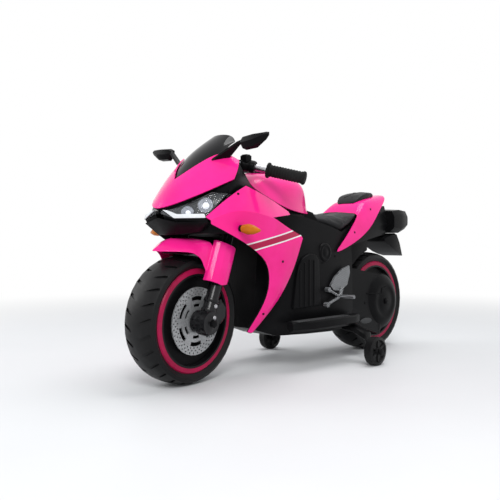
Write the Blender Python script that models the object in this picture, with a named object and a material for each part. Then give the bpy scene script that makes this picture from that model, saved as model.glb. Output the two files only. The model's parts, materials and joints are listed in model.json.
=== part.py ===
"""Child's battery ride-on sport motorcycle with training wheels.

Metres, +Z up, the bike faces -Y and its left side is +X.  The origin is on the
ground under the middle of the bike.  The front end stands turned a little to
the left, as it is parked.
"""

import math

import bmesh
import bpy
from mathutils import Matrix, Vector
from mathutils.bvhtree import BVHTree

# Driving dimensions: wheels and stance
TYRE_RADIUS = 0.175
TYRE_WIDTH = 0.112
TREAD_DEPTH = 0.005
TREAD_GROOVES = 26
TREAD_WIDTH = 0.008
WHEEL_FACETS = 36
TYRE_DEPTH = 0.033
RIM_RING_WIDTH = 0.022
RIM_FACE = 0.046
WHEELBASE = 0.850
TAIL_OVERHANG = 0.205
RAKE = math.radians(20)
STEER_AT_REST = math.radians(7.5)
AXLE_RADIUS = 0.006
DISC_RADIUS = 0.092
DISC_THICKNESS = 0.004
HUB_RADIUS = 0.030

# Driving dimensions: front end
FORK_SPREAD = 0.083
FORK_RADIUS = 0.0185
FORK_TUBE_RADIUS = 0.014
LUG_RADIUS = 0.031
CROWN_CLEARANCE = 0.071
CROWN_THICKNESS = 0.026
CROWN_DEPTH = 0.052
STEM_RADIUS = 0.013
STEM_LENGTH = 0.172
BAR_RADIUS = 0.010
GRIP_RADIUS = 0.0175
GRIP_LENGTH = 0.112
FENDER_LIFT = 0.040
GUARD_RADIUS = 0.030
GUARD_DEPTH = 0.048
GUARD_LENGTH = 0.112
GUARD_RISE = 0.001
GUARD_WRAP = math.radians(106)
GUARD_BACK = math.radians(-70)

# Driving dimensions: body
WALL = 0.003
FRAME_WALL = 0.006
TRAINER_RADIUS = 0.0445
TRAINER_WIDTH = 0.032
TRAINER_SPREAD = 0.226
TRAINER_AHEAD = 0.262
SWINGARM_FACE = 0.066
SWINGARM_THICKNESS = 0.020
COVER_RADIUS = 0.118
BATTERY = (0.080, 0.150, 0.095)
BATTERY_PLACE = 0.430
CONTROL_BOX = (0.060, 0.110, 0.030)
MOTOR_OFFSET = 0.074
MOTOR_RADIUS = 0.024
GEARCASE_RADIUS = 0.042
FOOTBOARD_WIDTH = 0.042
FOOTBOARD_HEIGHT = 0.032
FOOTBOARD_TOP = 0.150
ARM_DROP = 0.011
PEDAL = (0.030, 0.062, 0.007)
PEDAL_TRAVEL = math.radians(7)
DASH = (0.056, 0.086, 0.008)
SWITCH = (0.016, 0.026, 0.009)
BOSS_RADIUS = 0.007
PAD_SEAT = 0.0016
SIGNAL_STUB = 0.010
SIGNAL_LENGTH = 0.062
SIGNAL_RADIUS = 0.0145
STUB_RADIUS = 0.009
KNOB_RADIUS = 0.008
MIRROR_STALK = 0.007
MIRROR_SEAT = 0.0012

# Clearances
GAP = 0.0003
RUNNING_GAP = 0.0006

# The body's heights are read off a drawing with this wheel and fork; other sizes lift the body from there
DRAWN = {"wheel": 0.175, "fork": 0.246}
BELLY, HEAD = 0.200, 0.400
BODY_WIDE, BODY_NARROW = 0.106, 0.092
BODY_TAPER, SEAT_TAPER = -0.368, -0.200
NECK_END, TANK_END = 0.160, 0.450

# Derived places
RIDE_LIFT = TYRE_RADIUS - DRAWN["wheel"]
FORK_LENGTH = TYRE_RADIUS + CROWN_CLEARANCE
HEAD_RISE = FORK_LENGTH - DRAWN["fork"]
AXLE_HEIGHT = DRAWN["wheel"]
FRONT_AXLE = Vector((0, TYRE_RADIUS - (TYRE_RADIUS + WHEELBASE + TAIL_OVERHANG) / 2, TYRE_RADIUS))
REAR_AXLE = FRONT_AXLE + Vector((0, WHEELBASE, 0))
STEER_AXIS = Vector((0, math.sin(RAKE), math.cos(RAKE)))
HALF_TYRE = TYRE_WIDTH / 2
RIM_RADIUS = TYRE_RADIUS - TYRE_DEPTH

for stale in list(bpy.data.objects):
    bpy.data.objects.remove(stale)


def finish(name, colour, roughness, metallic=0.0, alpha=1.0):
    """One Principled material."""
    material = bpy.data.materials.new(name)
    material.use_nodes = True
    shader = material.node_tree.nodes["Principled BSDF"]
    shader.inputs["Base Color"].default_value = (*colour, 1)
    shader.inputs["Roughness"].default_value = roughness
    shader.inputs["Metallic"].default_value = metallic
    shader.inputs["Alpha"].default_value = alpha
    return material


PINK = finish("gloss_pink", (0.85, 0.02, 0.33), 0.18)
CRIMSON = finish("crimson_ring", (0.60, 0.01, 0.12), 0.35)
BLACK = finish("black_plastic", (0.012, 0.012, 0.014), 0.45)
TYRE_BLACK = finish("tyre_black", (0.02, 0.02, 0.022), 0.6)
GLOSS_BLACK = finish("gloss_black", (0.006, 0.006, 0.008), 0.08)
SEAT_BLACK = finish("seat_vinyl", (0.015, 0.015, 0.016), 0.5)
SILVER = finish("silver_plastic", (0.55, 0.55, 0.57), 0.3, 0.7)
DISC_GREY = finish("disc_grey", (0.45, 0.46, 0.48), 0.35, 0.6)
STEEL = finish("steel", (0.5, 0.5, 0.52), 0.3, 1.0)
LENS = finish("clear_lens", (0.75, 0.78, 0.80), 0.05, 0.0, 0.5)
AMBER = finish("amber_lens", (0.80, 0.30, 0.02), 0.15)
MIRROR = finish("mirror_glass", (0.8, 0.8, 0.82), 0.05, 1.0)
CELL = finish("battery_case", (0.08, 0.09, 0.11), 0.5)


def share(value, none, all_of_it):
    return min(1, max(0, (value - none) / (all_of_it - none)))


def front(x, y, z):
    """A point measured back from the front axle and up from the ground; a longer fork lifts the head."""
    lift = STEER_AXIS * (HEAD_RISE * share(z, BELLY, HEAD) * share(y, TANK_END, NECK_END))
    return Vector((x, FRONT_AXLE.y + y, z + RIDE_LIFT)) + lift


def rear(x, y, z):
    """A point measured back from the rear axle and up from the ground."""
    return Vector((x, REAR_AXLE.y + y, z + RIDE_LIFT))


def empty(name, location, rotation=Matrix.Identity(4), parent=None):
    holder = bpy.data.objects.new(name, None)
    holder.parent = parent
    holder.matrix_local = Matrix.Translation(location) @ rotation
    bpy.context.collection.objects.link(holder)
    return holder


def place(name, mesh, material, parent=None, origin=Vector()):
    """A named object from a mesh in its parent's frame, with its origin moved to a point."""
    mesh.transform(Matrix.Translation(-origin))
    mesh.materials.append(material)
    mesh.shade_smooth()
    mesh.set_sharp_from_angle(angle=math.radians(32))
    item = bpy.data.objects.new(name, mesh)
    item.parent = parent
    item.location = origin
    bpy.context.collection.objects.link(item)
    return item


def closed_mesh(name, points, faces, split=False):
    """A closed mesh that faces outwards; split makes every face triangles, which a Boolean reads exactly."""
    mesh = bpy.data.meshes.new(name)
    mesh.from_pydata([tuple(p) for p in points], [], faces)
    shape = bmesh.new()
    shape.from_mesh(mesh)
    bmesh.ops.remove_doubles(shape, verts=shape.verts, dist=1e-6)
    bmesh.ops.recalc_face_normals(shape, faces=shape.faces)
    if shape.calc_volume(signed=True) < 0:
        bmesh.ops.reverse_faces(shape, faces=shape.faces)
    if split:
        bmesh.ops.triangulate(shape, faces=shape.faces)
    shape.to_mesh(mesh)
    shape.free()
    return mesh


def loft(name, sections, ring=False, split=False):
    """Closed skin through loops of equally many points, capped at both ends unless it is a ring."""
    count = len(sections[0])
    points = [p for section in sections for p in section]
    faces = []
    spans = len(sections) if ring else len(sections) - 1
    for i in range(spans):
        here = i * count
        there = (i + 1) % len(sections) * count
        for j in range(count):
            k = (j + 1) % count
            faces.append((here + j, here + k, there + k, there + j))
    if not ring:
        faces.append(tuple(range(count)))
        faces.append(tuple(range(len(points) - count, len(points))))
    return closed_mesh(name, points, faces, split)


def turned(name, profile, steps, axis="X"):
    """A closed profile of (along, radius) turned about an axis through the frame's origin."""
    sections = []
    for i in range(steps):
        a = 2 * math.pi * i / steps
        if axis == "X":
            sections.append([Vector((u, r * math.cos(a), r * math.sin(a))) for u, r in profile])
        else:
            sections.append([Vector((r * math.cos(a), r * math.sin(a), u)) for u, r in profile])
    return loft(name, sections, ring=True)


def rod(name, start, end, radius, sides=16):
    """A straight round bar between two points."""
    along = (end - start).normalized()
    turn = along.to_track_quat("Z", "Y").to_matrix()
    ring = [turn @ Vector((radius * math.cos(2 * math.pi * i / sides),
                           radius * math.sin(2 * math.pi * i / sides), 0)) for i in range(sides)]
    return loft(name, [[start + p for p in ring], [end + p for p in ring]])


def swept(name, route, outline):
    """An outline of (sideways, upward) offsets carried along a route, mitred at its bends."""
    sections = []
    for i, point in enumerate(route):
        before = (point - route[i - 1]).normalized() if i else (route[1] - point).normalized()
        after = (route[i + 1] - point).normalized() if i + 1 < len(route) else before
        along = (before + after).normalized()
        side = along.cross(Vector((0, 0, 1)))
        side = side.normalized() if side.length > 1e-3 else Vector((0, 1, 0))
        up = side.cross(along)
        sections.append([point + side * u + up * v for u, v in outline])
    return loft(name, sections)


def circle(radius, sides=10):
    return [(radius * math.cos(2 * math.pi * i / sides), radius * math.sin(2 * math.pi * i / sides))
            for i in range(sides)]


def block(name, centre, size):
    sections = []
    for x in (-size[0] / 2, size[0] / 2):
        sections.append([centre + Vector((x, y * size[1] / 2, z * size[2] / 2))
                         for y, z in ((-1, -1), (1, -1), (1, 1), (-1, 1))])
    return loft(name, sections)


def helper(name, mesh, parent=None):
    """A cutter or tool body, left out of the finished part."""
    item = bpy.data.objects.new(name, mesh)
    item.parent = parent
    item.hide_render = True
    item.display_type = "WIRE"
    bpy.context.collection.objects.link(item)
    return item


def combine(item, tool, operation):
    modifier = item.modifiers.new(operation.lower(), "BOOLEAN")
    modifier.operation = operation
    modifier.solver = "EXACT"
    modifier.object = tool


def soften(item, width, segments=2, angle=40):
    modifier = item.modifiers.new("edge", "BEVEL")
    modifier.width = width
    modifier.segments = segments
    modifier.limit_method = "ANGLE"
    modifier.angle_limit = math.radians(angle)


def panel(name, points, faces, material, side=1, corners=(), ridges=(), levels=1, wall=WALL):
    """A moulded panel: a control cage, subdivided and given its wall on the inside.

    Corners are points that stay sharp, and ridges are runs of points whose edges stay crisp.
    """
    mesh = bpy.data.meshes.new(name)
    places = [(p.x * side, p.y, p.z) for p in points]
    mesh.from_pydata(places, [], [f if side > 0 else tuple(reversed(f)) for f in faces])
    sharp_points = mesh.attributes.new("crease_vert", "FLOAT", "POINT")
    for corner in corners:
        sharp_points.data[corner].value = 1.0
    sharp_edges = mesh.attributes.new("crease_edge", "FLOAT", "EDGE")
    crisp = {frozenset(pair) for run in ridges for pair in zip(run, run[1:])}
    for edge in mesh.edges:
        if frozenset(edge.vertices) in crisp:
            sharp_edges.data[edge.index].value = 0.7
    item = place(name, mesh, material)
    smooth = item.modifiers.new("form", "SUBSURF")
    smooth.levels = levels
    smooth.render_levels = levels
    shell = item.modifiers.new("wall", "SOLIDIFY")
    shell.thickness = wall
    shell.offset = -1
    shell.use_even_offset = True
    return item


def grid_faces(rows, columns):
    return [(r * columns + c, r * columns + c + 1, (r + 1) * columns + c + 1, (r + 1) * columns + c)
            for r in range(rows - 1) for c in range(columns - 1)]


def mirrored_grid(half_rows):
    """Whole rows from half rows that start on the centre plane, right side first."""
    rows = []
    for half in half_rows:
        rows.append([Vector((-p.x, p.y, p.z)) for p in reversed(half[1:])] + half)
    return rows


def meets(item, start, way):
    """Where a ray from a point first meets the finished surface of a piece, or None."""
    tree = BVHTree.FromObject(item, bpy.context.evaluated_depsgraph_get())
    return tree.ray_cast(start, way)[0]


def rests(item, start, way, radius):
    """Where a flat round end that moves along a way from a start comes to rest on a piece."""
    turn = way.to_track_quat("Z", "Y").to_matrix()
    lengths = []
    for u, v in [(0, 0)] + circle(radius / 2, 8) + circle(radius, 16):
        rim = start + turn @ Vector((u, v, 0))
        found = meets(item, rim, way)
        if found:
            lengths.append((found - rim).length)
    return start + way * (min(lengths) - 2 * GAP)


def boss(frame, name, start, way, carried, radius=BOSS_RADIUS):
    """A round post on the frame that stops a clearance short of the piece it carries."""
    end = rests(carried, start, way.normalized(), radius)
    combine(frame, helper(name, rod(name, start, end, radius, 10)), "UNION")


def beside(frame, side, spots):
    """How far out a flat piece stands to clear the frame at each of these (y from the rear axle, z)."""
    inwards = Vector((-side, 0, 0))
    found = [meets(frame, rear(side * 0.3, y, z), inwards) for y, z in spots]
    return max(p.x * side for p in found if p) + GAP


def mirrored(points):
    return [Vector((-p.x, p.y, p.z)) for p in points]


# Wheels

def tyre_profile():
    """Tyre section, (along, radius): round crown, shoulders, bead and a hollow inside."""
    bead = RIM_RADIUS + GAP
    shoulder = HALF_TYRE * 0.98
    wall_top = TYRE_RADIUS - (TYRE_RADIUS - RIM_RADIUS) * 0.62
    outer = [(RIM_FACE, bead), (shoulder, wall_top)]
    for i in range(1, 8):
        a = math.radians(180 * i / 8)
        outer.append((shoulder * math.cos(a), wall_top + (TYRE_RADIUS - wall_top) * math.sin(a) ** 0.8))
    outer += [(-shoulder, wall_top), (-RIM_FACE, bead)]
    return outer


def wheel(prefix, holder):
    """Tyre, coloured rim and black hub."""
    tyre = place(prefix + "_tyre", turned(prefix + "_tyre", tyre_profile(), WHEEL_FACETS), TYRE_BLACK, holder)
    grooves = bmesh.new()
    for i in range(TREAD_GROOVES):
        for side in (-1, 1):
            a = 2 * math.pi * (i + 0.25 * side) / TREAD_GROOVES
            box = bmesh.ops.create_cube(grooves, size=1)["verts"]
            turn = Matrix.Rotation(a, 4, "X")
            turn = turn @ Matrix.Translation((side * HALF_TYRE * 0.50, 0, TYRE_RADIUS - 0.002))
            turn = turn @ Matrix.Rotation(math.radians(side * 24), 4, "Z")
            turn = turn @ Matrix.Rotation(math.radians(side * 20), 4, "Y")
            size = Matrix.Diagonal((HALF_TYRE * 0.80, TREAD_WIDTH, 2 * TREAD_DEPTH, 1))
            bmesh.ops.transform(grooves, matrix=turn @ size, verts=box)
    cutter = bpy.data.meshes.new(prefix + "_tread_cut")
    grooves.to_mesh(cutter)
    grooves.free()
    combine(tyre, helper(prefix + "_tread_cut", cutter, holder), "DIFFERENCE")
    inner = RIM_RADIUS - RIM_RING_WIDTH
    web = RIM_FACE - 0.012
    lip = RIM_FACE + 0.003
    half_rim = [(lip, inner + 0.002), (lip, RIM_RADIUS - 0.003), (RIM_FACE, RIM_RADIUS)]
    rim = [(web, inner)] + half_rim + [(-u, r) for u, r in reversed(half_rim)] + [(-web, inner)]
    place(prefix + "_rim", turned(prefix + "_rim", rim, WHEEL_FACETS), CRIMSON, holder)
    bore = AXLE_RADIUS + RUNNING_GAP
    half_hub = [(web, inner - GAP), (web, HUB_RADIUS), (RIM_FACE, HUB_RADIUS), (RIM_FACE, bore)]
    hub = half_hub + [(-u, r) for u, r in reversed(half_hub)]
    place(prefix + "_hub", turned(prefix + "_hub", hub, WHEEL_FACETS), BLACK, holder)


def brake_disc(side, label, holder):
    """Drilled-look brake disc with two rows of curved slots, on the front hub."""
    bore = AXLE_RADIUS + RUNNING_GAP
    outer = RIM_FACE + DISC_THICKNESS
    disc = [(RIM_FACE + GAP, bore), (outer, bore), (outer, DISC_RADIUS), (RIM_FACE + GAP, DISC_RADIUS)]
    name = "front_disc_" + label
    brake = place(name, turned(name, [(side * u, r) for u, r in disc], 32), DISC_GREY, holder)
    slots = bmesh.new()
    for share, width, arc in ((0.68, 0.011, 38), (0.47, 0.008, 32)):
        radius = DISC_RADIUS * share
        for i in range(6):
            start = math.radians(60 * i + (60 - arc) / 2)
            run = [start + math.radians(arc) * j / 3 for j in range(4)]
            edge = [(radius - width / 2, a) for a in run] + [(radius + width / 2, a) for a in reversed(run)]
            loops = []
            for u in (RIM_FACE - 0.004, outer + 0.004):
                loops.append([slots.verts.new((side * u, r * math.cos(a), r * math.sin(a))) for r, a in edge])
            for j in range(len(edge)):
                k = (j + 1) % len(edge)
                slots.faces.new((loops[0][j], loops[0][k], loops[1][k], loops[1][j]))
            slots.faces.new(loops[0])
            slots.faces.new(loops[1])
    bmesh.ops.recalc_face_normals(slots, faces=slots.faces)
    mesh = bpy.data.meshes.new("disc_slots_" + label)
    slots.to_mesh(mesh)
    slots.free()
    combine(brake, helper("disc_slots_" + label, mesh, holder), "DIFFERENCE")


def axle(name, reach, holder):
    place(name, rod(name, Vector((-reach, 0, 0)), Vector((reach, 0, 0)), AXLE_RADIUS, 24), STEEL, holder)


# Front end, in a frame centred on the axle and turned with the steering

steering = empty("steering", FRONT_AXLE, Matrix.Rotation(STEER_AT_REST, 4, STEER_AXIS))
front_wheel = empty("front_wheel", Vector(), parent=steering)
wheel("front", front_wheel)
brake_disc(1, "left", front_wheel)
brake_disc(-1, "right", front_wheel)
axle("front_axle", FORK_SPREAD + FORK_RADIUS + 0.012, steering)
TILT = Matrix.Rotation(-RAKE, 4, "X")


def fork_leg(side, label):
    """One moulded fork leg: axle lug, lower leg, collar and upper tube, bored for the axle."""
    profile = [(-0.034, 0.012), (-0.030, FORK_RADIUS + 0.002), (-0.016, FORK_RADIUS + 0.006),
               (0.016, FORK_RADIUS + 0.006), (0.032, FORK_RADIUS), (0.110, FORK_RADIUS),
               (0.114, FORK_RADIUS + 0.003), (0.124, FORK_RADIUS + 0.003), (0.128, FORK_TUBE_RADIUS),
               (FORK_LENGTH, FORK_TUBE_RADIUS)]
    mesh = turned("fork_leg_" + label, [(-0.034, 0.0)] + profile + [(FORK_LENGTH, 0.0)], 16, "Z")
    mesh.transform(Matrix.Translation((side * FORK_SPREAD, 0, 0)) @ TILT)
    leg = place("fork_leg_" + label, mesh, BLACK, steering)
    inside = RIM_FACE + DISC_THICKNESS + 0.004
    cap = rod("axle_cap", Vector((side * inside, 0, 0)), Vector((side * (FORK_SPREAD + 0.021), 0, 0)),
              LUG_RADIUS, 20)
    combine(leg, helper("axle_cap_" + label, cap, steering), "UNION")
    caliper = []
    for x, s in ((inside, 0.8), (inside + 0.008, 1), (FORK_SPREAD + 0.008, 1), (FORK_SPREAD + 0.014, 0.75)):
        caliper.append([Vector((side * x, 0.046 + y * s, 0.026 + z * s)) for y, z in (
            (-0.034, -0.016), (0.004, -0.034), (0.022, -0.020), (0.024, 0.014), (0.004, 0.034),
            (-0.022, 0.020))])
    combine(leg, helper("caliper_" + label, loft("caliper", caliper), steering), "UNION")
    bore = rod("axle_bore_" + label, Vector((side * 0.04, 0, 0)), Vector((side * 0.14, 0, 0)),
               AXLE_RADIUS + GAP, 24)
    combine(leg, helper("axle_bore_" + label, bore, steering), "DIFFERENCE")


def fork_guard(side, label):
    """Pink guard wrapped round the front and outside of a fork leg, deeper towards the front."""
    sections = []
    low = TYRE_RADIUS + FENDER_LIFT + GUARD_RISE - GUARD_LENGTH
    for i in range(4):
        t = i / 3
        loop = []
        for inset, order in ((0, 1), (WALL, -1)):
            for j in range(8)[::order]:
                a = GUARD_BACK + (GUARD_WRAP - GUARD_BACK) * j / 7
                depth = (GUARD_DEPTH if a > 0 else GUARD_RADIUS) - inset
                width = GUARD_RADIUS - inset - 0.004 * t
                rise = 0.020 * (1 - t) * max(0, -math.sin(a))
                loop.append(Vector((side * (FORK_SPREAD + width * math.cos(a)), -depth * math.sin(a),
                                    low + GUARD_LENGTH * t + rise)))
        sections.append(loop)
    mesh = loft("fork_guard_" + label, sections)
    mesh.transform(TILT)
    place("fork_guard_" + label, mesh, PINK, steering)


def front_fender():
    """Beaked fender: a crowned shell over the tyre, with cheeks that deepen from the tip to the fork."""
    rows = []
    beside_leg = FORK_SPREAD - FORK_RADIUS - 0.004
    to_guard = FORK_SPREAD + GUARD_RADIUS * math.cos(GUARD_WRAP) - 2 * GAP
    for a, half, cheek in ((-28, 0.022, 0.003), (-21, 0.044, 0.010), (-13, 0.064, 0.024),
                           (-6, to_guard, 0.022), (5, to_guard, 0.016), (11, beside_leg, 0.018),
                           (34, beside_leg, 0.030)):
        a = math.radians(a)
        row = []
        for u, drop in ((0, 0), (0.5, 0.10), (0.88, 0.36), (1.0, 1.0)):
            radius = TYRE_RADIUS + FENDER_LIFT - drop * cheek
            row.append(Vector((u * half, radius * math.sin(a), radius * math.cos(a))))
        rows.append(row)
    whole = mirrored_grid(rows)
    points = [p for row in whole for p in row]
    item = panel("front_fender", points, [tuple(reversed(f)) for f in grid_faces(7, 7)], PINK)
    item.parent = steering


for side, label in ((1, "left"), (-1, "right")):
    fork_leg(side, label)
    fork_guard(side, label)
front_fender()

crown_low = FORK_LENGTH + GAP
crown_top = crown_low + CROWN_THICKNESS
crown_loop = [Vector((x, y, 0)) for x, y in (
    (-FORK_SPREAD - 0.020, -0.018), (-FORK_SPREAD - 0.020, 0.018), (-0.035, CROWN_DEPTH / 2),
    (0.035, CROWN_DEPTH / 2), (FORK_SPREAD + 0.020, 0.018), (FORK_SPREAD + 0.020, -0.018),
    (0.035, -CROWN_DEPTH / 2), (-0.035, -CROWN_DEPTH / 2))]
crown_mesh = loft("fork_crown", [[p + Vector((0, 0, z)) for p in crown_loop]
                                 for z in (crown_low, crown_top)])
crown_mesh.transform(TILT)
soften(place("fork_crown", crown_mesh, BLACK, steering), 0.003)
stem_low = crown_top + GAP
stem_top = stem_low + STEM_LENGTH
stem_profile = [(stem_low, 0.0), (stem_low, 0.024), (stem_low + 0.006, 0.024),
                (stem_low + 0.008, STEM_RADIUS), (stem_top, STEM_RADIUS), (stem_top, 0.0)]
stem_mesh = turned("steering_stem", stem_profile, 20, "Z")
stem_mesh.transform(TILT)
place("steering_stem", stem_mesh, STEEL, steering)

# Handlebar route: across the clamp, then back and down to the grips
bar_centre = TILT @ Vector((0, 0, stem_top + 0.014))
GRIP_DIRECTION = Vector((0.910, 0.366, -0.196)).normalized()
bar_bend = bar_centre + Vector((0.060, 0.004, 0.002))
grip_start = bar_bend + GRIP_DIRECTION * 0.076
grip_end = grip_start + GRIP_DIRECTION * GRIP_LENGTH
bar_half = [bar_bend, bar_bend + GRIP_DIRECTION * 0.05, grip_end - GRIP_DIRECTION * 0.006]
bar_route = mirrored(reversed(bar_half)) + bar_half
place("handlebar", swept("handlebar", bar_route, circle(BAR_RADIUS, 12)), STEEL, steering)
bar_cut = helper("bar_cut", swept("bar_cut", bar_route, circle(BAR_RADIUS + GAP, 12)), steering)
clamp_loop = [(-0.020, -0.013), (0.022, -0.013), (0.022, 0.012), (0.012, 0.019), (-0.012, 0.019),
              (-0.020, 0.010)]
clamp_sections = [[bar_centre + Vector((x, y * s, z * s)) for y, z in clamp_loop]
                  for x, s in ((-0.050, 0.85), (-0.030, 1), (0.030, 1), (0.050, 0.85))]
clamp_mesh = loft("bar_clamp", clamp_sections)
clamp = place("bar_clamp", clamp_mesh, BLACK, steering)
combine(clamp, bar_cut, "DIFFERENCE")
stem_cut = rod("stem_cut", TILT @ Vector((0, 0, stem_low)), TILT @ Vector((0, 0, stem_top + GAP)),
               STEM_RADIUS + GAP, 20)
combine(clamp, helper("stem_cut", stem_cut, steering), "DIFFERENCE")
for side, label in ((1, "left"), (-1, "right")):
    start = Vector((side * grip_start.x, grip_start.y, grip_start.z))
    way = Vector((side * GRIP_DIRECTION.x, GRIP_DIRECTION.y, GRIP_DIRECTION.z))
    profile = [(0, 0), (0, 0.022), (0.006, 0.022), (0.008, GRIP_RADIUS - 0.001),
               (GRIP_LENGTH * 0.5, GRIP_RADIUS), (GRIP_LENGTH - 0.010, GRIP_RADIUS - 0.001),
               (GRIP_LENGTH - 0.008, GRIP_RADIUS + 0.002), (GRIP_LENGTH, GRIP_RADIUS + 0.001),
               (GRIP_LENGTH, 0)]
    grip_mesh = turned("grip_" + label, profile, 16, "Z")
    grip_mesh.transform(Matrix.Translation(start) @ way.to_track_quat("Z", "Y").to_matrix().to_4x4())
    combine(place("grip_" + label, grip_mesh, TYRE_BLACK, steering), bar_cut, "DIFFERENCE")

# Rear wheel and training wheels
rear_wheel = empty("rear_wheel", REAR_AXLE)
wheel("rear", rear_wheel)
axle("rear_axle", SWINGARM_FACE + SWINGARM_THICKNESS + 0.012, empty("rear_axle_line", REAR_AXLE))
TRAINER_Y = WHEELBASE - TRAINER_AHEAD
for side, label in ((1, "left"), (-1, "right")):
    hub = Vector((side * TRAINER_SPREAD, FRONT_AXLE.y + TRAINER_Y, TRAINER_RADIUS))
    half = TRAINER_WIDTH / 2
    bore = AXLE_RADIUS + RUNNING_GAP
    dish = TRAINER_RADIUS - 0.012
    lip = TRAINER_RADIUS - 0.009
    half_profile = [(bore, half), (0.012, half), (0.014, half - 0.007), (dish, half - 0.007),
                    (lip, half - 0.001), (TRAINER_RADIUS, half - 0.004)]
    profile = [(u, r) for r, u in half_profile] + [(-u, r) for r, u in reversed(half_profile)]
    mesh = turned("training_wheel_" + label, profile, 24)
    place("training_wheel_" + label, mesh, TYRE_BLACK, empty("training_hub_" + label, hub))


# Nose
COWL_HALF = [[front(0, -0.088, 0.474), front(0.035, -0.082, 0.477), front(0.080, -0.042, 0.499),
              front(0.118, 0.002, 0.524), front(0.145, 0.055, 0.551)],
             [front(0, -0.064, 0.514), front(0.034, -0.054, 0.520), front(0.078, -0.012, 0.545),
              front(0.115, 0.034, 0.572), front(0.142, 0.075, 0.583)],
             [front(0, -0.030, 0.553), front(0.030, -0.006, 0.578), front(0.056, 0.028, 0.606),
              front(0.080, 0.077, 0.637), front(0.125, 0.092, 0.605)]]
cowl = mirrored_grid(COWL_HALF)
nose_cowl = panel("nose_cowl", [p for row in cowl for p in row], grid_faces(3, 9), PINK,
                  corners=(0, 4, 8, 18, 22, 26))
SCREEN_HALF = [[front(0, -0.0300, 0.5455), front(0.0285, -0.0060, 0.5700), front(0.0545, 0.0280, 0.5975),
                front(0.0775, 0.0775, 0.6290)],
               [front(0, 0.036, 0.630), front(0.032, 0.052, 0.638), front(0.055, 0.080, 0.650),
                front(0.070, 0.108, 0.656)],
               [front(0, 0.128, 0.692), front(0.030, 0.134, 0.691), front(0.050, 0.143, 0.684),
                front(0.060, 0.140, 0.668)]]
screen = mirrored_grid(SCREEN_HALF)
windscreen = panel("windscreen", [p for row in screen for p in row], grid_faces(3, 7), GLOSS_BLACK,
                   corners=(14, 20))
chin_top = [(0, -0.086, 0.450), (0.064, -0.080, 0.436), (0.122, -0.028, 0.436), (0.122, 0.0, 0.436),
            (0, 0.010, 0.440)]
chin_low = [(0, -0.058, 0.402), (0.034, -0.054, 0.404), (0.080, -0.022, 0.412), (0.080, 0.0, 0.412),
            (0, 0.010, 0.404)]
chin_loops = []
for half_loop in (chin_low, chin_top):
    half_loop = [front(*p) for p in half_loop]
    chin_loops.append(half_loop + mirrored(reversed(half_loop[1:-1])))
nose_chin = place("nose_chin", loft("nose_chin", chin_loops), BLACK)
soften(nose_chin, 0.003)


def headlight(side, label):
    """Swept-back lamp block with its lens face."""
    low = [(0.012, -0.084, 0.459), (0.064, -0.077, 0.444), (0.120, -0.028, 0.444), (0.136, 0.040, 0.512)]
    high = [(0.116, 0.003, 0.514), (0.079, -0.038, 0.489), (0.036, -0.077, 0.469), (0.012, -0.082, 0.467)]
    face = [front(side * x, y, z) for x, y, z in low + high]
    back = [p + Vector((-side * 0.010, 0.026, 0)) for p in face]
    return place("headlight_" + label, loft("headlight_" + label, [face, back]), LENS)


def turn_signal(side, label, fairing):
    """Amber lamp on a short stub that stands on the side fairing."""
    way = Vector((side, 0.05, -0.10)).normalized()
    outside = front(side * 0.25, 0.064, 0.412)
    root = rests(fairing, outside, -way, STUB_RADIUS)
    seat = root + way * SIGNAL_STUB
    place("signal_stub_" + label, rod("signal_stub_" + label, root, seat, STUB_RADIUS, 12), BLACK)
    profile = [(GAP, 0.0), (GAP, SIGNAL_RADIUS * 0.75), (SIGNAL_LENGTH * 0.3, SIGNAL_RADIUS),
               (SIGNAL_LENGTH * 0.6, SIGNAL_RADIUS * 0.8), (SIGNAL_LENGTH * 0.9, SIGNAL_RADIUS * 0.3),
               (SIGNAL_LENGTH, 0.0)]
    mesh = turned("turn_signal_" + label, profile, 16, "Z")
    mesh.transform(Matrix.Translation(seat) @ way.to_track_quat("Z", "Y").to_matrix().to_4x4())
    place("turn_signal_" + label, mesh, AMBER)


def mirror(side, label):
    """Mirror housing on its flat stalk, with the glass set in its rear face."""
    foot_a, foot_b = front(side * 0.080, 0.034, 0.620), front(side * 0.113, 0.070, 0.630)
    top_a, top_b = front(side * 0.142, 0.068, 0.648), front(side * 0.152, 0.082, 0.656)
    half = (foot_b - foot_a).cross(top_a - foot_a).normalized() * MIRROR_STALK / 2
    way = Vector((-side * 0.45, 0.35, -0.82)).normalized()
    feet, tops = [], []
    for t, face in ((0, -1), (0.33, -1), (0.67, -1), (1, -1), (1, 1), (0.67, 1), (0.33, 1), (0, 1)):
        corner = foot_a.lerp(foot_b, t) + half * face
        feet.append(meets(nose_cowl, corner - way * 0.05, way) - way * MIRROR_SEAT)
        tops.append(top_a.lerp(top_b, t) + half * face)
    arm = loft("mirror_stalk_" + label, [feet, tops])
    sections = []
    for x, low, high, depth in ((0.144, 0.643, 0.657, 0.012), (0.160, 0.628, 0.664, 0.022),
                                (0.200, 0.630, 0.667, 0.024), (0.232, 0.648, 0.668, 0.016),
                                (0.242, 0.658, 0.666, 0.006)):
        mid = (low + high) / 2
        sections.append([front(side * x, y, z) for y, z in (
            (0.086, low), (0.086, high), (0.086 - depth * 0.7, high - 0.003),
            (0.086 - depth, mid), (0.086 - depth * 0.7, low + 0.003))])
    housing = place("mirror_" + label, loft("mirror_" + label, sections), BLACK)
    combine(housing, helper("mirror_stalk_" + label, arm), "UNION")
    glass = []
    for depth in (0.086 + GAP, 0.089):
        glass.append([front(side * x, depth, z) for x, z in (
            (0.163, 0.633), (0.200, 0.634), (0.230, 0.651), (0.230, 0.664), (0.200, 0.662), (0.163, 0.660))])
    place("mirror_glass_" + label, loft("mirror_glass_" + label, glass), MIRROR)


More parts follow.
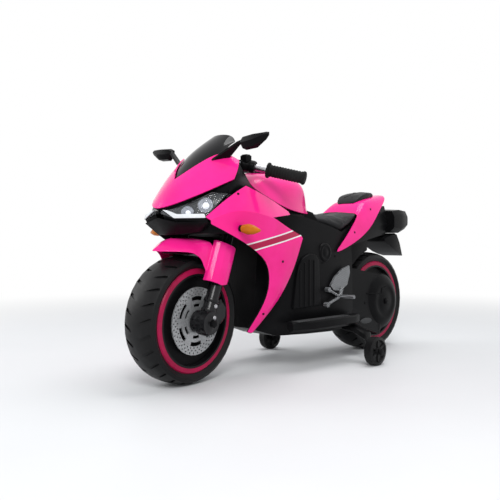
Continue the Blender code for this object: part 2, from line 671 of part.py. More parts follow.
def side_fairing(side, label):
    """Large side panel: a wide blade beside the lamps and tank, and a leg that runs down to the belly."""
    upper = [front(*p) for p in ((0.128, -0.030, 0.449), (0.145, 0.038, 0.506), (0.142, 0.101, 0.536),
                                 (0.131, 0.178, 0.519), (0.122, 0.250, 0.494), (0.118, 0.300, 0.474))]
    ridge = [front(*p) for p in ((0.137, -0.020, 0.441), (0.165, 0.036, 0.470), (0.175, 0.095, 0.466),
                                 (0.170, 0.165, 0.456), (0.158, 0.255, 0.436), (0.140, 0.312, 0.428))]
    lower = [front(*p) for p in ((0.134, -0.016, 0.431), (0.152, 0.032, 0.407), (0.162, 0.086, 0.380),
                                 (0.158, 0.149, 0.349), (0.165, 0.240, 0.370), (0.150, 0.327, 0.396))]
    leg = [[front(*p) for p in row] for row in (
        ((0.147, 0.190, 0.313), (0.158, 0.248, 0.322), (0.146, 0.298, 0.314)),
        ((0.132, 0.206, 0.255), (0.142, 0.240, 0.255), (0.134, 0.272, 0.258)),
        ((0.108, 0.203, 0.199), (0.122, 0.226, 0.200), (0.120, 0.246, 0.206)),
        ((0.060, 0.188, 0.127), (0.066, 0.198, 0.122), (0.066, 0.206, 0.126)))]
    points = upper + ridge + lower + [p for row in leg for p in row]
    faces = [(r * 6 + c, (r + 1) * 6 + c, (r + 1) * 6 + c + 1, r * 6 + c + 1)
             for r in range(2) for c in range(5)]
    starts = [(15, 16, 17), (18, 19, 20), (21, 22, 23), (24, 25, 26), (27, 28, 29)]
    for above, below in zip(starts, starts[1:]):
        for c in range(2):
            faces.append((above[c], below[c], below[c + 1], above[c + 1]))
    item = panel("side_fairing_" + label, points, faces, PINK, side, corners=(0, 2, 5, 12, 17, 27, 29),
                 ridges=((6, 7, 8, 9, 10),))
    notch = [[front(side * x, y, z) for y, z in ((0.184, 0.4525), (0.370, 0.472), (0.370, 0.388))]
             for x in (0.08, 0.20)]
    combine(item, helper("fairing_notch_" + label, loft("fairing_notch", notch)), "DIFFERENCE")
    return item


def tank_cover():
    """Fuel-tank cover: crowned top, broad shoulders and knee hollows, open underneath."""
    rows = [(0.165, ((0, 0.572), (0.050, 0.570), (0.085, 0.557), (0.100, 0.546), (0.110, 0.535))),
            (0.215, ((0, 0.590), (0.055, 0.588), (0.092, 0.567), (0.105, 0.538), (0.115, 0.512))),
            (0.290, ((0, 0.597), (0.060, 0.593), (0.098, 0.568), (0.103, 0.528), (0.112, 0.486))),
            (0.365, ((0, 0.596), (0.060, 0.591), (0.092, 0.563), (0.086, 0.520), (0.098, 0.476))),
            (0.425, ((0, 0.589), (0.052, 0.583), (0.077, 0.554), (0.064, 0.514), (0.078, 0.474))),
            (0.446, ((0, 0.566), (0.040, 0.560), (0.064, 0.538), (0.054, 0.506), (0.066, 0.474))),
            (0.462, ((0, 0.508), (0.030, 0.505), (0.050, 0.498), (0.050, 0.486), (0.058, 0.474)))]
    half = [[front(x, y, z) for x, z in outline] for y, outline in rows]
    whole = mirrored_grid(half)
    return panel("tank_cover", [p for row in whole for p in row], grid_faces(7, 9), PINK)


def cushion(name, rows, material):
    """Crowned cushion: loops of (x, z) offsets along y, drawn in at the sides."""
    sections = []
    for place_y, half, low, high in rows:
        bulge = (high - low)
        half_loop = [(0, low), (half * 0.86, low), (half * 0.97, low + 0.25 * bulge),
                     (half, low + 0.55 * bulge), (half * 0.88, low + 0.86 * bulge),
                     (half * 0.5, low + 0.98 * bulge), (0, high)]
        loop = half_loop + [(-x, z) for x, z in reversed(half_loop[1:-1])]
        sections.append([Vector((x, place_y, z)) for x, z in loop])
    return place(name, loft(name, sections), material)


TANK_REAR = front(0, 0.482, 0).y
SEAT_REAR = rear(0, -0.158, 0).y
SADDLE = ((0, 0.4515), (0.3, 0.4345), (0.55, 0.4195), (0.8, 0.440), (1, 0.4735))
SEAT_TOPS = ((0.050, 0.476), (0.078, 0.474), (0.096, 0.474), (0.088, 0.484), (0.083, 0.489))
seat_rows = []
for (t, low), (half, high) in zip(SADDLE, SEAT_TOPS):
    seat_y = TANK_REAR + (SEAT_REAR - TANK_REAR) * t
    seat_rows.append((seat_y, half, rear(0, 0, low).z + 2 * GAP, rear(0, 0, high).z))
seat = cushion("seat", seat_rows, SEAT_BLACK)
TAIL_POINTS = [rear(0, -0.150, 0.486), rear(0.050, -0.150, 0.486), rear(0.090, -0.150, 0.485),
               rear(0, -0.112, 0.533), rear(0.048, -0.112, 0.532), rear(0.078, -0.110, 0.527),
               rear(0, -0.045, 0.546), rear(0.045, -0.045, 0.546), rear(0.072, -0.045, 0.536),
               rear(0, 0.060, 0.560), rear(0.040, 0.060, 0.560), rear(0.060, 0.058, 0.546),
               rear(0.097, -0.205, 0.436), rear(0.103, -0.260, 0.386), rear(0.105, -0.302, 0.356),
               rear(0.087, -0.035, 0.496), rear(0.096, -0.080, 0.446), rear(0.101, -0.160, 0.395),
               rear(0.105, -0.294, 0.350)]
TAIL_FACES = [(0, 1, 4, 3), (1, 2, 5, 4), (3, 4, 7, 6), (4, 5, 8, 7), (6, 7, 10, 9), (7, 8, 11, 10),
              (2, 15, 8, 5), (8, 15, 11), (2, 12, 16, 15), (12, 13, 17, 16), (13, 14, 18, 17)]
tail_count = len(TAIL_POINTS)
centre_points = (0, 3, 6, 9)
other = {i: (i if i in centre_points else tail_count + i) for i in range(tail_count)}
tail_points = TAIL_POINTS + mirrored(TAIL_POINTS)
tail_faces = TAIL_FACES + [tuple(other[i] for i in reversed(f)) for f in TAIL_FACES]
tail_cowl = panel("tail_cowl", tail_points, tail_faces, PINK)
pad_rows = []
for y, half, rise in ((-0.108, 0.036, 0.010), (-0.097, 0.047, 0.017), (-0.080, 0.054, 0.022),
                      (-0.045, 0.054, 0.021), (-0.012, 0.047, 0.016), (0.012, 0.036, 0.008)):
    spots = [rear(x * half, y, 0.7) for x in (-1, -0.5, 0, 0.5, 1)]
    low = max(meets(tail_cowl, spot, Vector((0, 0, -1))).z for spot in spots) + PAD_SEAT
    pad_rows.append((rear(0, y, 0).y, half, low, low + rise))
cushion("pillion_pad", pad_rows, SEAT_BLACK)
box_rows = []
for y, half, low, high in ((0.0803, 0.078, 0.425, 0.500), (0.130, 0.078, 0.420, 0.506),
                           (0.190, 0.066, 0.436, 0.503), (TAIL_OVERHANG, 0.058, 0.444, 0.496)):
    half_loop = [(0, low), (half * 0.8, low), (half, low + 0.015), (half, high - 0.020), (half * 0.85, high),
                 (0, high + 0.004)]
    loop = half_loop + [(-x, z) for x, z in reversed(half_loop[1:-1])]
    box_rows.append([rear(x, y, z) for x, z in loop])
place("tail_lamp_housing", loft("tail_lamp_housing", box_rows), BLACK)

tank = tank_cover()

# Frame: two moulded halves that meet on the centre plane
def frame_half(side, label, fairing, lamp):
    """One frame half: engine block, neck, tail, swingarm plate and the posts that carry the panels."""
    def section(y, outline, from_rear=False):
        at = rear if from_rear else front
        low, high = outline[0][1], outline[-1][1]
        loop = [(GAP / 2, low)] + outline + [(GAP / 2, high)]
        return [Vector((side * x, at(0, y, HEAD).y, at(0, y, z).z)) for x, z in loop]

    def hollow(y, outline, from_rear=False):
        at = rear if from_rear else front
        low, high = outline[0][1] + FRAME_WALL, outline[-1][1] - FRAME_WALL
        inner = [(x - FRAME_WALL, min(max(z, low), high)) for x, z in outline]
        loop = [(-FRAME_WALL, low)] + inner + [(-FRAME_WALL, high)]
        return [Vector((side * x, at(0, y, HEAD).y, at(0, y, z).z)) for x, z in loop]

    stations = [(0.202, [(0.045, 0.135), (0.075, 0.200), (0.085, 0.350), (0.060, 0.440)], False),
                (0.300, [(0.070, 0.105), (0.100, 0.160), (0.100, 0.360), (0.080, 0.470)], False),
                (0.420, [(0.080, 0.100), (0.108, 0.150), (0.105, 0.360), (0.084, 0.462)], False)]
    saddle = [((TANK_REAR + (SEAT_REAR - TANK_REAR) * t) - REAR_AXLE.y, top) for t, top in SADDLE]
    lower = ((0.080, 0.098, 0.108, 0.150), (0.080, 0.096, 0.108, 0.150), (0.080, 0.097, 0.104, 0.155),
             (0.070, 0.100, 0.095, 0.160))
    upper = ((0.350, 0.078), (0.320, 0.088), (0.310, 0.088), (0.320, 0.084))
    for (y, top), (keel, low, flank, middle), (shoulder, edge) in zip(saddle, lower, upper):
        wide = BODY_WIDE + (BODY_NARROW - BODY_WIDE) * share(y, BODY_TAPER, SEAT_TAPER)
        stations.append((y, [(keel, low), (flank, middle), (wide, shoulder), (edge, top)], True))
    body = [section(*station) for station in stations]
    space = [hollow(*station) for station in stations]
    for end, way in ((space[0], FRAME_WALL), (space[-1], -FRAME_WALL)):
        for point in end:
            point.y += way
    shell = place("frame_" + label, loft("frame_" + label, body, split=True), BLACK)
    neck = [section(-0.030, [(0.020, 0.518), (0.024, 0.524), (0.020, 0.534)]),
            section(0.060, [(0.030, 0.500), (0.040, 0.522), (0.030, 0.545)]),
            section(0.110, [(0.040, 0.452), (0.048, 0.500), (0.038, 0.552)]),
            section(0.205, [(0.058, 0.400), (0.070, 0.450), (0.052, 0.540)]),
            section(0.310, [(0.075, 0.350), (0.085, 0.430), (0.060, 0.520)])]
    tail = [section(saddle[2][0], [(0.080, 0.360), (0.086, 0.385), (0.080, saddle[2][1] - 0.004)], True),
            section(saddle[3][0], [(0.076, 0.370), (0.082, 0.400), (0.074, saddle[3][1] - 0.002)], True),
            section(-0.150, [(0.072, 0.380), (0.080, 0.430), (0.062, saddle[4][1])], True),
            section(0.000, [(0.056, 0.405), (0.066, 0.450), (0.048, 0.510)], True),
            section(0.080, [(0.040, 0.415), (0.050, 0.455), (0.034, 0.520)], True)]
    for name, sections in (("neck", neck), ("tail", tail)):
        combine(shell, helper(f"{name}_{label}", loft(name, sections, split=True)), "UNION")
    arm = []
    for x in (SWINGARM_FACE, SWINGARM_FACE + SWINGARM_THICKNESS):
        loop = [rear(side * x, -0.230, 0.120), rear(side * x, -0.230, 0.300)]
        for i in range(13):
            a = math.radians(100 - 206 * i / 12)
            loop.append(rear(side * x, COVER_RADIUS * math.cos(a), AXLE_HEIGHT + COVER_RADIUS * math.sin(a)))
        arm.append(loop)
    combine(shell, helper("swingarm_" + label, loft("swingarm", arm)), "UNION")
    combine(shell, helper("frame_space_" + label, loft("frame_space", space, split=True)), "DIFFERENCE")
    stem_bore = rod("stem_bore", TILT @ Vector((0, 0, crown_top)), TILT @ Vector((0, 0, stem_top + 0.05)),
                    STEM_RADIUS + RUNNING_GAP, 20)
    stem_bore.transform(Matrix.Translation(FRONT_AXLE))
    combine(shell, helper("stem_bore_" + label, stem_bore), "DIFFERENCE")
    axle_bore = rod("rear_axle_bore", rear(-0.2, 0, AXLE_HEIGHT), rear(0.2, 0, AXLE_HEIGHT),
                    AXLE_RADIUS + GAP, 24)
    combine(shell, helper("rear_axle_bore_" + label, axle_bore), "DIFFERENCE")
    out = Vector((side, 0, 0))
    up = Vector((0, 0, 1))
    for name, start, way, carried in (
            ("fairing_boss_top", front(side * 0.030, 0.100, 0.480), out, fairing),
            ("fairing_boss_mid", front(side * 0.070, 0.250, 0.400), out, fairing),
            ("fairing_boss_low", front(side * 0.070, 0.244, 0.246), out, fairing),
            ("tank_boss_front", front(side * 0.030, 0.230, 0.500), up, tank),
            ("tank_boss_rear", front(side * 0.030, 0.385, 0.445), up, tank),
            ("cowl_boss", front(side * 0.012, -0.026, 0.526), up, nose_cowl),
            ("screen_boss", front(side * 0.020, 0.070, 0.530), up, windscreen),
            ("chin_boss", front(side * 0.014, -0.014, 0.526), -up, nose_chin),
            ("lamp_boss", front(side * 0.030, 0.040, 0.512), Vector((side, -0.55, -0.25)), lamp),
            ("seat_boss_front", front(side * 0.030, 0.520, 0.425), up, seat),
            ("seat_boss_rear", rear(side * 0.040, -0.190, 0.420), up, seat),
            ("tail_boss", rear(side * 0.030, -0.060, 0.470), up, tail_cowl),
            ("blade_boss", rear(side * 0.060, -0.170, 0.425), out, tail_cowl)):
        boss(shell, f"{name}_{label}", start, way, carried)
    return shell


def footboard(side, label, frame):
    """Step board along the frame's lower side, with a ribbed tread."""
    pedal_top = FOOTBOARD_TOP + PEDAL[1] * math.sin(PEDAL_TRAVEL) + PEDAL[2]
    spots = [(-0.545 + 0.033 * i, z) for i in range(11) for z in (FOOTBOARD_TOP, pedal_top)]
    inner = beside(frame, side, spots)
    low = FOOTBOARD_TOP - FOOTBOARD_HEIGHT
    sections = []
    for y, taper in ((-0.545, 0.55), (-0.470, 1), (-0.260, 1), (-0.215, 0.6)):
        edge = inner + FOOTBOARD_WIDTH * taper
        sections.append([rear(side * x, y, z) for x, z in (
            (inner, low + 0.012), (edge - 0.010, low), (edge, low + 0.008), (edge, FOOTBOARD_TOP - 0.004),
            (edge - 0.004, FOOTBOARD_TOP), (inner, FOOTBOARD_TOP))])
    board = place("footboard_" + label, loft("footboard_" + label, sections), BLACK)
    for i in range(6):
        spot = rear(side * (inner + FOOTBOARD_WIDTH * 0.5), -0.440 + 0.016 * i, FOOTBOARD_TOP)
        groove = block("tread", spot, (FOOTBOARD_WIDTH * 0.7, 0.005, 0.004))
        combine(board, helper(f"tread_{label}_{i}", groove), "DIFFERENCE")
    return inner


def heel_guard(side, label, frame):
    """Silver heel plate with its two-armed bracket and foot peg, on the frame's side."""
    outline = ((-0.246, 0.309), (-0.243, 0.286), (-0.258, 0.247), (-0.294, 0.228), (-0.330, 0.233),
               (-0.344, 0.247), (-0.322, 0.274), (-0.284, 0.298))
    knobs = ((-0.360, 0.236), (-0.366, 0.189))
    spots = [((a + c) / 2, (b + d) / 2) for a, b in outline for c, d in outline]
    for y, z in knobs + ((-0.300, 0.210),):
        spots += [(y + u, z + v) for u, v in circle(KNOB_RADIUS, 8)]
    inner = beside(frame, side, spots)
    plate = [[rear(side * x, y, z) for y, z in outline] for x in (inner, inner + 0.007)]
    guard = place("heel_guard_" + label, loft("heel_guard_" + label, plate), SILVER)
    depth = inner + 0.009
    hub = rear(side * depth, -0.300, 0.210)
    for i, (y, z) in enumerate(knobs):
        foot = rear(side * inner, y, z)
        knob = rod("knob", foot, foot + Vector((side * 0.014, 0, 0)), KNOB_RADIUS, 10)
        link = rod("link", rear(side * depth, y, z), hub, 0.0045, 8)
        combine(guard, helper(f"knob_{label}_{i}", knob), "UNION")
        combine(guard, helper(f"link_{label}_{i}", link), "UNION")
    strut = rod("strut", hub, rear(side * depth, -0.290, 0.240), 0.006, 8)
    peg_end = rear(side * (inner + 0.062), -0.296, 0.212)
    peg = rod("peg", rear(side * (depth - 0.006), -0.300, 0.210), peg_end, 0.0065, 10)
    combine(guard, helper("strut_" + label, strut), "UNION")
    combine(guard, helper("peg_" + label, peg), "UNION")


def training_arm(side, label, frame):
    """Moulded outrigger from the frame to the training wheel, ending in its axle pin."""
    height = FOOTBOARD_TOP - FOOTBOARD_HEIGHT - ARM_DROP
    spots = [(-0.232 + u * 0.021, height + v * 0.010) for u in (-1, 0, 1) for v in (-1, 0, 1)]
    root = rear(side * beside(frame, side, spots), -0.232, height)
    hub = Vector((side * TRAINER_SPREAD, FRONT_AXLE.y + TRAINER_Y, TRAINER_RADIUS))
    inside = TRAINER_SPREAD - TRAINER_WIDTH / 2 - RUNNING_GAP
    sections = []
    for x, y, z, deep, tall in ((root.x * side, root.y, root.z, 0.042, 0.020),
                                (0.130, root.y, root.z - 0.004, 0.040, 0.022),
                                (inside - 0.024, root.y - 0.012, root.z - 0.022, 0.034, 0.026),
                                (inside - 0.008, hub.y, hub.z + 0.004, 0.030, 0.034),
                                (inside, hub.y, hub.z, 0.026, 0.026)):
        sections.append([Vector((side * x, y + u * deep / 2, z + v * tall / 2)) for u, v in (
            (-1, -0.6), (-0.7, -1), (0.7, -1), (1, -0.6), (1, 0.6), (0.7, 1), (-0.7, 1), (-1, 0.6))])
    arm = place("training_arm_" + label, loft("training_arm_" + label, sections), BLACK)
    pin_end = hub + Vector((side * (TRAINER_WIDTH / 2 + 0.006), 0, 0))
    pin = rod("pin", Vector((side * (inside - 0.006), hub.y, hub.z)), pin_end, AXLE_RADIUS, 16)
    combine(arm, helper("trainer_pin_" + label, pin), "UNION")


fairings = {}
lamps = {}
frames = {}
for side, label in ((1, "left"), (-1, "right")):
    lamps[label] = headlight(side, label)
    fairings[label] = side_fairing(side, label)
    turn_signal(side, label, fairings[label])
    mirror(side, label)
for side, label in ((1, "left"), (-1, "right")):
    frames[label] = frame_half(side, label, fairings[label], lamps[label])
    board_inner = footboard(side, label, frames[label])
    heel_guard(side, label, frames[label])
    training_arm(side, label, frames[label])

# Electrics inside the frame, and the drive on the right of the rear wheel
battery_foot = front(0, BATTERY_PLACE, 0.12)
spots = [battery_foot + Vector((0.01, way * BATTERY[1] / 2, 0)) for way in (-1, 1)]
floor = max(meets(frames["left"], spot, Vector((0, 0, -1))).z for spot in spots)
battery_centre = Vector((0, battery_foot.y, floor + GAP + BATTERY[2] / 2))
soften(place("battery", block("battery", battery_centre, BATTERY), CELL), 0.002)
box_centre = battery_centre + Vector((0, 0, BATTERY[2] / 2 + GAP + CONTROL_BOX[2] / 2))
soften(place("control_box", block("control_box", box_centre, CONTROL_BOX), BLACK), 0.002)
case_outer = SWINGARM_FACE - GAP
case_inner = RIM_FACE + 0.002
case_loops = []
for x in (case_outer, case_inner):
    loop = []
    for centre, radius, first in ((0, GEARCASE_RADIUS, -100), (-MOTOR_OFFSET, MOTOR_RADIUS + 0.004, 80)):
        for i in range(9):
            a = math.radians(first + 200 * i / 8)
            loop.append(rear(-x, centre + radius * math.cos(a), AXLE_HEIGHT + radius * math.sin(a)))
    case_loops.append(loop)
motor = place("gear_motor", loft("gear_motor", case_loops), BLACK)
can = rod("motor_can", rear(-case_outer + 0.004, -MOTOR_OFFSET, AXLE_HEIGHT),
          rear(-RIM_FACE + 0.010, -MOTOR_OFFSET, AXLE_HEIGHT), MOTOR_RADIUS, 20)
combine(motor, helper("motor_can", can), "UNION")
motor_bore = rod("motor_bore", rear(-0.2, 0, AXLE_HEIGHT), rear(0.2, 0, AXLE_HEIGHT),
                 AXLE_RADIUS + RUNNING_GAP, 24)
combine(motor, helper("motor_bore", motor_bore), "DIFFERENCE")

# Rear mudguard with its plate bracket, under the tail lamp
guard_rows = []
for y, half, low, high in ((0.060, 0.050, 0.388, 0.404), (0.100, 0.056, 0.366, 0.4185),
                           (0.135, 0.054, 0.350, 0.4194), (0.165, 0.048, 0.340, 0.388),
                           (0.192, 0.042, 0.334, 0.342)):
    guard_rows.append([rear(x, y, z) for x, z in (
        (-half, low), (-half, high - 0.006), (-half * 0.8, high), (half * 0.8, high), (half, high - 0.006),
        (half, low))])
place("rear_mudguard", loft("rear_mudguard", guard_rows), BLACK)

# Controls: switch panel on the tank top, and the accelerator pedal on the right step board
dash_y = front(0, 0.285, 0).y
tank_tops = [meets(tank, Vector((x, dash_y + y, 0.8)), Vector((0, 0, -1))).z
             for x in (-DASH[0] / 2, 0, DASH[0] / 2) for y in (-DASH[1] / 2, 0, DASH[1] / 2)]
dash_low = max(tank_tops) + GAP
dash = place("switch_panel", block("switch_panel", Vector((0, dash_y, dash_low + DASH[2] / 2)), DASH), BLACK)
for name, y in (("power_switch", -0.020), ("direction_switch", 0.020)):
    centre = Vector((0, dash_y + y, dash_low + DASH[2]))
    well_size = (SWITCH[0] + 2 * RUNNING_GAP, SWITCH[1] + 2 * RUNNING_GAP, SWITCH[2] + 0.004)
    well = block(name + "_well", centre, well_size)
    combine(dash, helper(name + "_well", well), "DIFFERENCE")
    reach = SWITCH[1] / 2
    rocker_loop = [(-reach, 0.003), (-reach + 0.001, 0.005), (0, 0.002), (reach - 0.001, 0.004),
                   (reach, 0.002), (reach - 0.005, -0.0035), (-reach + 0.005, -0.0035)]
    rocker = loft(name, [[centre + Vector((x, u, v)) for u, v in rocker_loop]
                         for x in (-SWITCH[0] / 2, SWITCH[0] / 2)])
    place(name, rocker, CRIMSON, origin=centre)
board_middle = rear(-(board_inner + FOOTBOARD_WIDTH * 0.5), -0.335, FOOTBOARD_TOP)
pedal_hinge = board_middle + Vector((0, 0, GAP))
pedal_mesh = block("accelerator_pedal", Vector((0, -PEDAL[1] / 2, PEDAL[2] / 2)), PEDAL)
pedal_mesh.transform(Matrix.Translation(pedal_hinge) @ Matrix.Rotation(-PEDAL_TRAVEL, 4, "X"))
soften(place("accelerator_pedal", pedal_mesh, BLACK, origin=pedal_hinge), 0.0015)
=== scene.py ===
# %% [markdown]
# # A child's ride-on sport motorcycle
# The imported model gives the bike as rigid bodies: a chassis, a front end that steers, wheels that turn,
# a pedal and two switches. This lesson dresses it: pink gloss panels, moulded black plastic, a padded
# seat, lamps behind clear lenses. Every piece rides on one of the bodies, so the bike can still move.

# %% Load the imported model
import json
import math
from contextlib import contextmanager

import bpy
from mathutils import Matrix, Vector


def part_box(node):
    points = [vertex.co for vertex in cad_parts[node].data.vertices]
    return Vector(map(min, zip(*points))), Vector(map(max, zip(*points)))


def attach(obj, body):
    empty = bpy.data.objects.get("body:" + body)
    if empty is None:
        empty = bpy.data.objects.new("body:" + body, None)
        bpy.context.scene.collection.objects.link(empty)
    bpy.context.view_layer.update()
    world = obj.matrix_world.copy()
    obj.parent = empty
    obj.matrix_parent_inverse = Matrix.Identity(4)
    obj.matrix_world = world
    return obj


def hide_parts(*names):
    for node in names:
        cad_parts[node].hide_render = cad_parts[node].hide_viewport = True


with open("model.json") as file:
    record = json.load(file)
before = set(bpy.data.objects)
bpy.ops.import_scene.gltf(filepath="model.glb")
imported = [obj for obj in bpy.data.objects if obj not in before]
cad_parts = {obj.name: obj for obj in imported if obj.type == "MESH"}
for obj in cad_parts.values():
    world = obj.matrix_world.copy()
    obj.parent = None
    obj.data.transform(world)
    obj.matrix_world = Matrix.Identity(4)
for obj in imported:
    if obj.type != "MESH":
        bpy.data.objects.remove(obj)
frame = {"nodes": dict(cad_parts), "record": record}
nodes = frame["nodes"]
bodies = frame["record"]["behaviour"]["bodies"]
body_of = {node: body for body, members in bodies.items() for node in members}
slot_of = {part["node"]: part["material_slot"] for part in frame["record"]["subparts"]}
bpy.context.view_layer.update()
SIDES = ((1, "left"), (-1, "right"))
FRONT_CENTRE = Vector((0, -0.44, 0.175))
REAR_CENTRE = Vector((0, 0.41, 0.175))

# %% [markdown]
# ## Camera
# The photograph was taken from the front left, a little below the height of the seat. Its place and its
# lens were worked out from the ellipses of the wheels and from the pairs of lamps, signals and mirrors.

# %% Set up the camera
CAMERA_PLACE = (1.36594, -1.55064, 0.38257)
CAMERA_TURN = (math.radians(89.37), 0, math.radians(44.925))
FOCAL_LENGTH, SENSOR = 46.22, 36
bpy.ops.object.select_all(action="DESELECT")
bpy.ops.object.camera_add(location=CAMERA_PLACE, rotation=CAMERA_TURN)
camera = bpy.context.object
camera.data.lens = FOCAL_LENGTH
camera.data.sensor_width = SENSOR
camera.data.clip_end = 50
bpy.context.scene.camera = camera
print("camera", [round(v, 2) for v in camera.location], camera.data.lens, "mm")

# %% [markdown]
# ## Shader maths
# A material is a small network of nodes. Wrapping a socket in a class that knows `+`, `-` and `*`
# lets the network be written as ordinary Python, which is easier to read than a list of links.


# %% A socket that does arithmetic
def maths(operation):
    """A method that adds one Math node."""
    return lambda self, other=0.0: self.node("ShaderNodeMath", {0: self, 1: other}, operation=operation)


class Wire:
    """One output socket. Arithmetic on it adds Math nodes to its tree."""

    __add__ = __radd__ = maths("ADD")
    __sub__ = maths("SUBTRACT")
    __mul__ = __rmul__ = maths("MULTIPLY")
    __gt__ = maths("GREATER_THAN")
    __lt__ = maths("LESS_THAN")
    sine, root, size = maths("SINE"), maths("SQRT"), maths("ABSOLUTE")

    def __init__(self, socket):
        self.socket = socket

    def node(self, kind, inputs, out=0, **settings):
        """Adds a node: its settings first, then the values or wires of its sockets."""
        tree = self.socket.id_data
        made = tree.nodes.new(kind)
        for name, value in settings.items():
            setattr(made, name, value)
        for name, value in inputs.items():
            target = made.inputs[name]
            if isinstance(value, Wire):
                tree.links.new(value.socket, target)
            elif target.type == "RGBA":
                target.default_value = (*value, 1)
            else:
                target.default_value = value
        return Wire(made.outputs[out])

    def __rsub__(self, other):
        return self.node("ShaderNodeMath", {0: other, 1: self}, operation="SUBTRACT")

    def step(self, low, high):
        """0 below low, 1 above high, and a smooth rise between."""
        return self.node("ShaderNodeMapRange", {0: self, 1: low, 2: high}, interpolation_type="SMOOTHSTEP")

    def wave(self, frequency):
        """0 to 1 and back, once every 1 / frequency."""
        return (self * (2 * math.pi * frequency)).sine() * 0.5 + 0.5

    def noise(self, scale, detail=3.0, roughness=0.55):
        return self.node("ShaderNodeTexNoise", {"Vector": self, "Scale": scale, "Detail": detail,
                                                "Roughness": roughness})

    def cells(self, scale):
        return self.node("ShaderNodeTexVoronoi", {"Vector": self, "Scale": scale}, out="Distance")

    def axes(self):
        """The x, y and z of a vector."""
        x = self.node("ShaderNodeSeparateXYZ", {0: self}, out=0)
        outputs = x.socket.node.outputs
        return x, Wire(outputs[1]), Wire(outputs[2])

    def stretched(self, scale):
        """The same coordinates, drawn out along an axis."""
        return self.node("ShaderNodeMapping", {"Vector": self, "Scale": scale})

    def mix(self, low, high):
        """Colour low where this is 0, high where it is 1."""
        return self.node("ShaderNodeMix", {0: self, 6: low, 7: high}, out=2, data_type="RGBA")


finishes = {}


def finish(name, **constants):
    """A new finish, kept by its name: its shader with constants set, and its Object coordinates."""
    material = finishes[name] = bpy.data.materials.new(name)
    material.use_nodes = True
    shader = material.node_tree.nodes["Principled BSDF"]
    for socket, value in constants.items():
        shader.inputs[socket.replace("_", " ")].default_value = value
    coordinates = material.node_tree.nodes.new("ShaderNodeTexCoord")
    return shader, Wire(coordinates.outputs["Object"])


def connect(shader, bump=None, strength=0.1, distance=0.001, **fields):
    """Links varying values to the shader's sockets, and a height to its Normal through a Bump node."""
    tree = shader.id_data
    for socket, wire in fields.items():
        tree.links.new(wire.socket, shader.inputs[socket.replace("_", " ")])
    if bump:
        normal = bump.node("ShaderNodeBump", {"Height": bump, "Strength": strength, "Distance": distance})
        tree.links.new(normal.socket, shader.inputs["Normal"])


print("shader helpers ready")

# %% [markdown]
# ## Gloss pink
# The panels are injection-moulded in coloured plastic, with a clear high gloss. Up close such a surface
# is not one flat colour: the melt leaves a faint cloudiness, a slight ripple bends the reflections, and
# handling leaves fine dull marks. Three noises at three scales give those.

# %% Moulded gloss plastics
PINK = (0.93, 0.02, 0.275)
PINK_DEEP = (0.87, 0.014, 0.235)
CRIMSON = (0.4, 0.006, 0.065)
CRIMSON_DEEP = (0.3, 0.005, 0.045)


def gloss(name, light, deep, roughness=0.12, coat=0.12, sheen=0.14):
    shader, place = finish(name, Coat_Roughness=0.05, Specular_IOR_Level=sheen)
    cloud = place.noise(9.0, 4.0)
    marks = place.noise(140.0, 2.0).step(0.52, 0.78)
    ripple = place.noise(38.0, 1.0)
    connect(shader, ripple, 0.05, 0.002, Base_Color=cloud.step(0.35, 0.65).mix(deep, light),
            Roughness=marks * 0.1 + cloud * 0.05 + roughness, Coat_Weight=coat - marks * coat * 0.4)


gloss("gloss_pink", PINK, PINK_DEEP)
gloss("crimson_rim", CRIMSON, CRIMSON_DEEP, 0.3, 0.05, 0.15)
gloss("red_switch", (0.55, 0.01, 0.02), (0.45, 0.008, 0.015), 0.25, 0.2)
gloss("gloss_black", (0.006, 0.006, 0.007), (0.004, 0.004, 0.005), 0.04, 0.06, 0.1)
print("gloss finishes:", *finishes)

# %% [markdown]
# ## Moulded black
# The frame, fork and covers are a satin black with the fine spark-eroded grain of the mould. Dust settles
# in the grain in cloudy patches, so the black is a little greyer there.

# %% Satin and matte blacks


def moulded(name, colour, dusty, roughness, grain, depth, sheen=0.05):
    shader, place = finish(name, Specular_IOR_Level=sheen)
    grit = place.noise(grain, 2.0, 0.6)
    cloud = place.noise(14.0, 5.0)
    dust = cloud.step(0.45, 0.8) * grit.step(0.3, 0.75)
    connect(shader, grit, 0.35, depth, Base_Color=dust.mix(colour, dusty),
            Roughness=dust * 0.12 + grit * 0.12 + (roughness - 0.06))


moulded("black_plastic", (0.0045, 0.0045, 0.005), (0.011, 0.011, 0.012), 0.36, 900.0, 0.0003)
moulded("tyre_black", (0.0055, 0.0055, 0.006), (0.013, 0.013, 0.013), 0.42, 500.0, 0.0004, 0.16)
moulded("grip_rubber", (0.012, 0.012, 0.012), (0.026, 0.026, 0.026), 0.62, 700.0, 0.0005)
moulded("battery_case", (0.05, 0.055, 0.065), (0.09, 0.09, 0.1), 0.5, 600.0, 0.0003)
moulded("fork_black", (0.006, 0.006, 0.007), (0.012, 0.012, 0.013), 0.2, 900.0, 0.0001, 0.25)
print("with the blacks:", len(finishes), "finishes")

# %% [markdown]
# ## Two-tone rims
# The rims are moulded in black with a crimson ring printed on the outer lip. The ring is a mask on the
# distance from the wheel's centre, which a Vector Math node measures. Its edge is set a little outside
# the ring's inner bevel, so that bevel, which lies in shadow, is painted black as painted shade.

# %% Crimson ring on a black rim
# The edge lies outside the ring's inner bevel, so the bevel is painted black as painted shade.
RING_SHADE_EDGE = (0.1362, 0.1368)


def ringed(name, centre):
    shader, place = finish(name, Specular_IOR_Level=0.15)
    reach = place.node("ShaderNodeVectorMath", {0: place, 1: centre}, out="Value", operation="DISTANCE")
    # Black inside the edge: the rim's own black, and painted shade on the inner bevel of the ring.
    ring_past_shade = reach.step(*RING_SHADE_EDGE)
    cloud = place.noise(16.0, 4.0)
    crimson = cloud.step(0.3, 0.7).mix(CRIMSON_DEEP, CRIMSON)
    connect(shader, place.noise(240.0, 2.0), 0.12, 0.0004, Roughness=cloud * 0.12 + 0.26,
            Base_Color=ring_past_shade.mix((0.006, 0.006, 0.007), crimson))


ringed("front_ring", FRONT_CENTRE)
ringed("rear_ring", REAR_CENTRE)
print("with the rims:", len(finishes), "finishes")

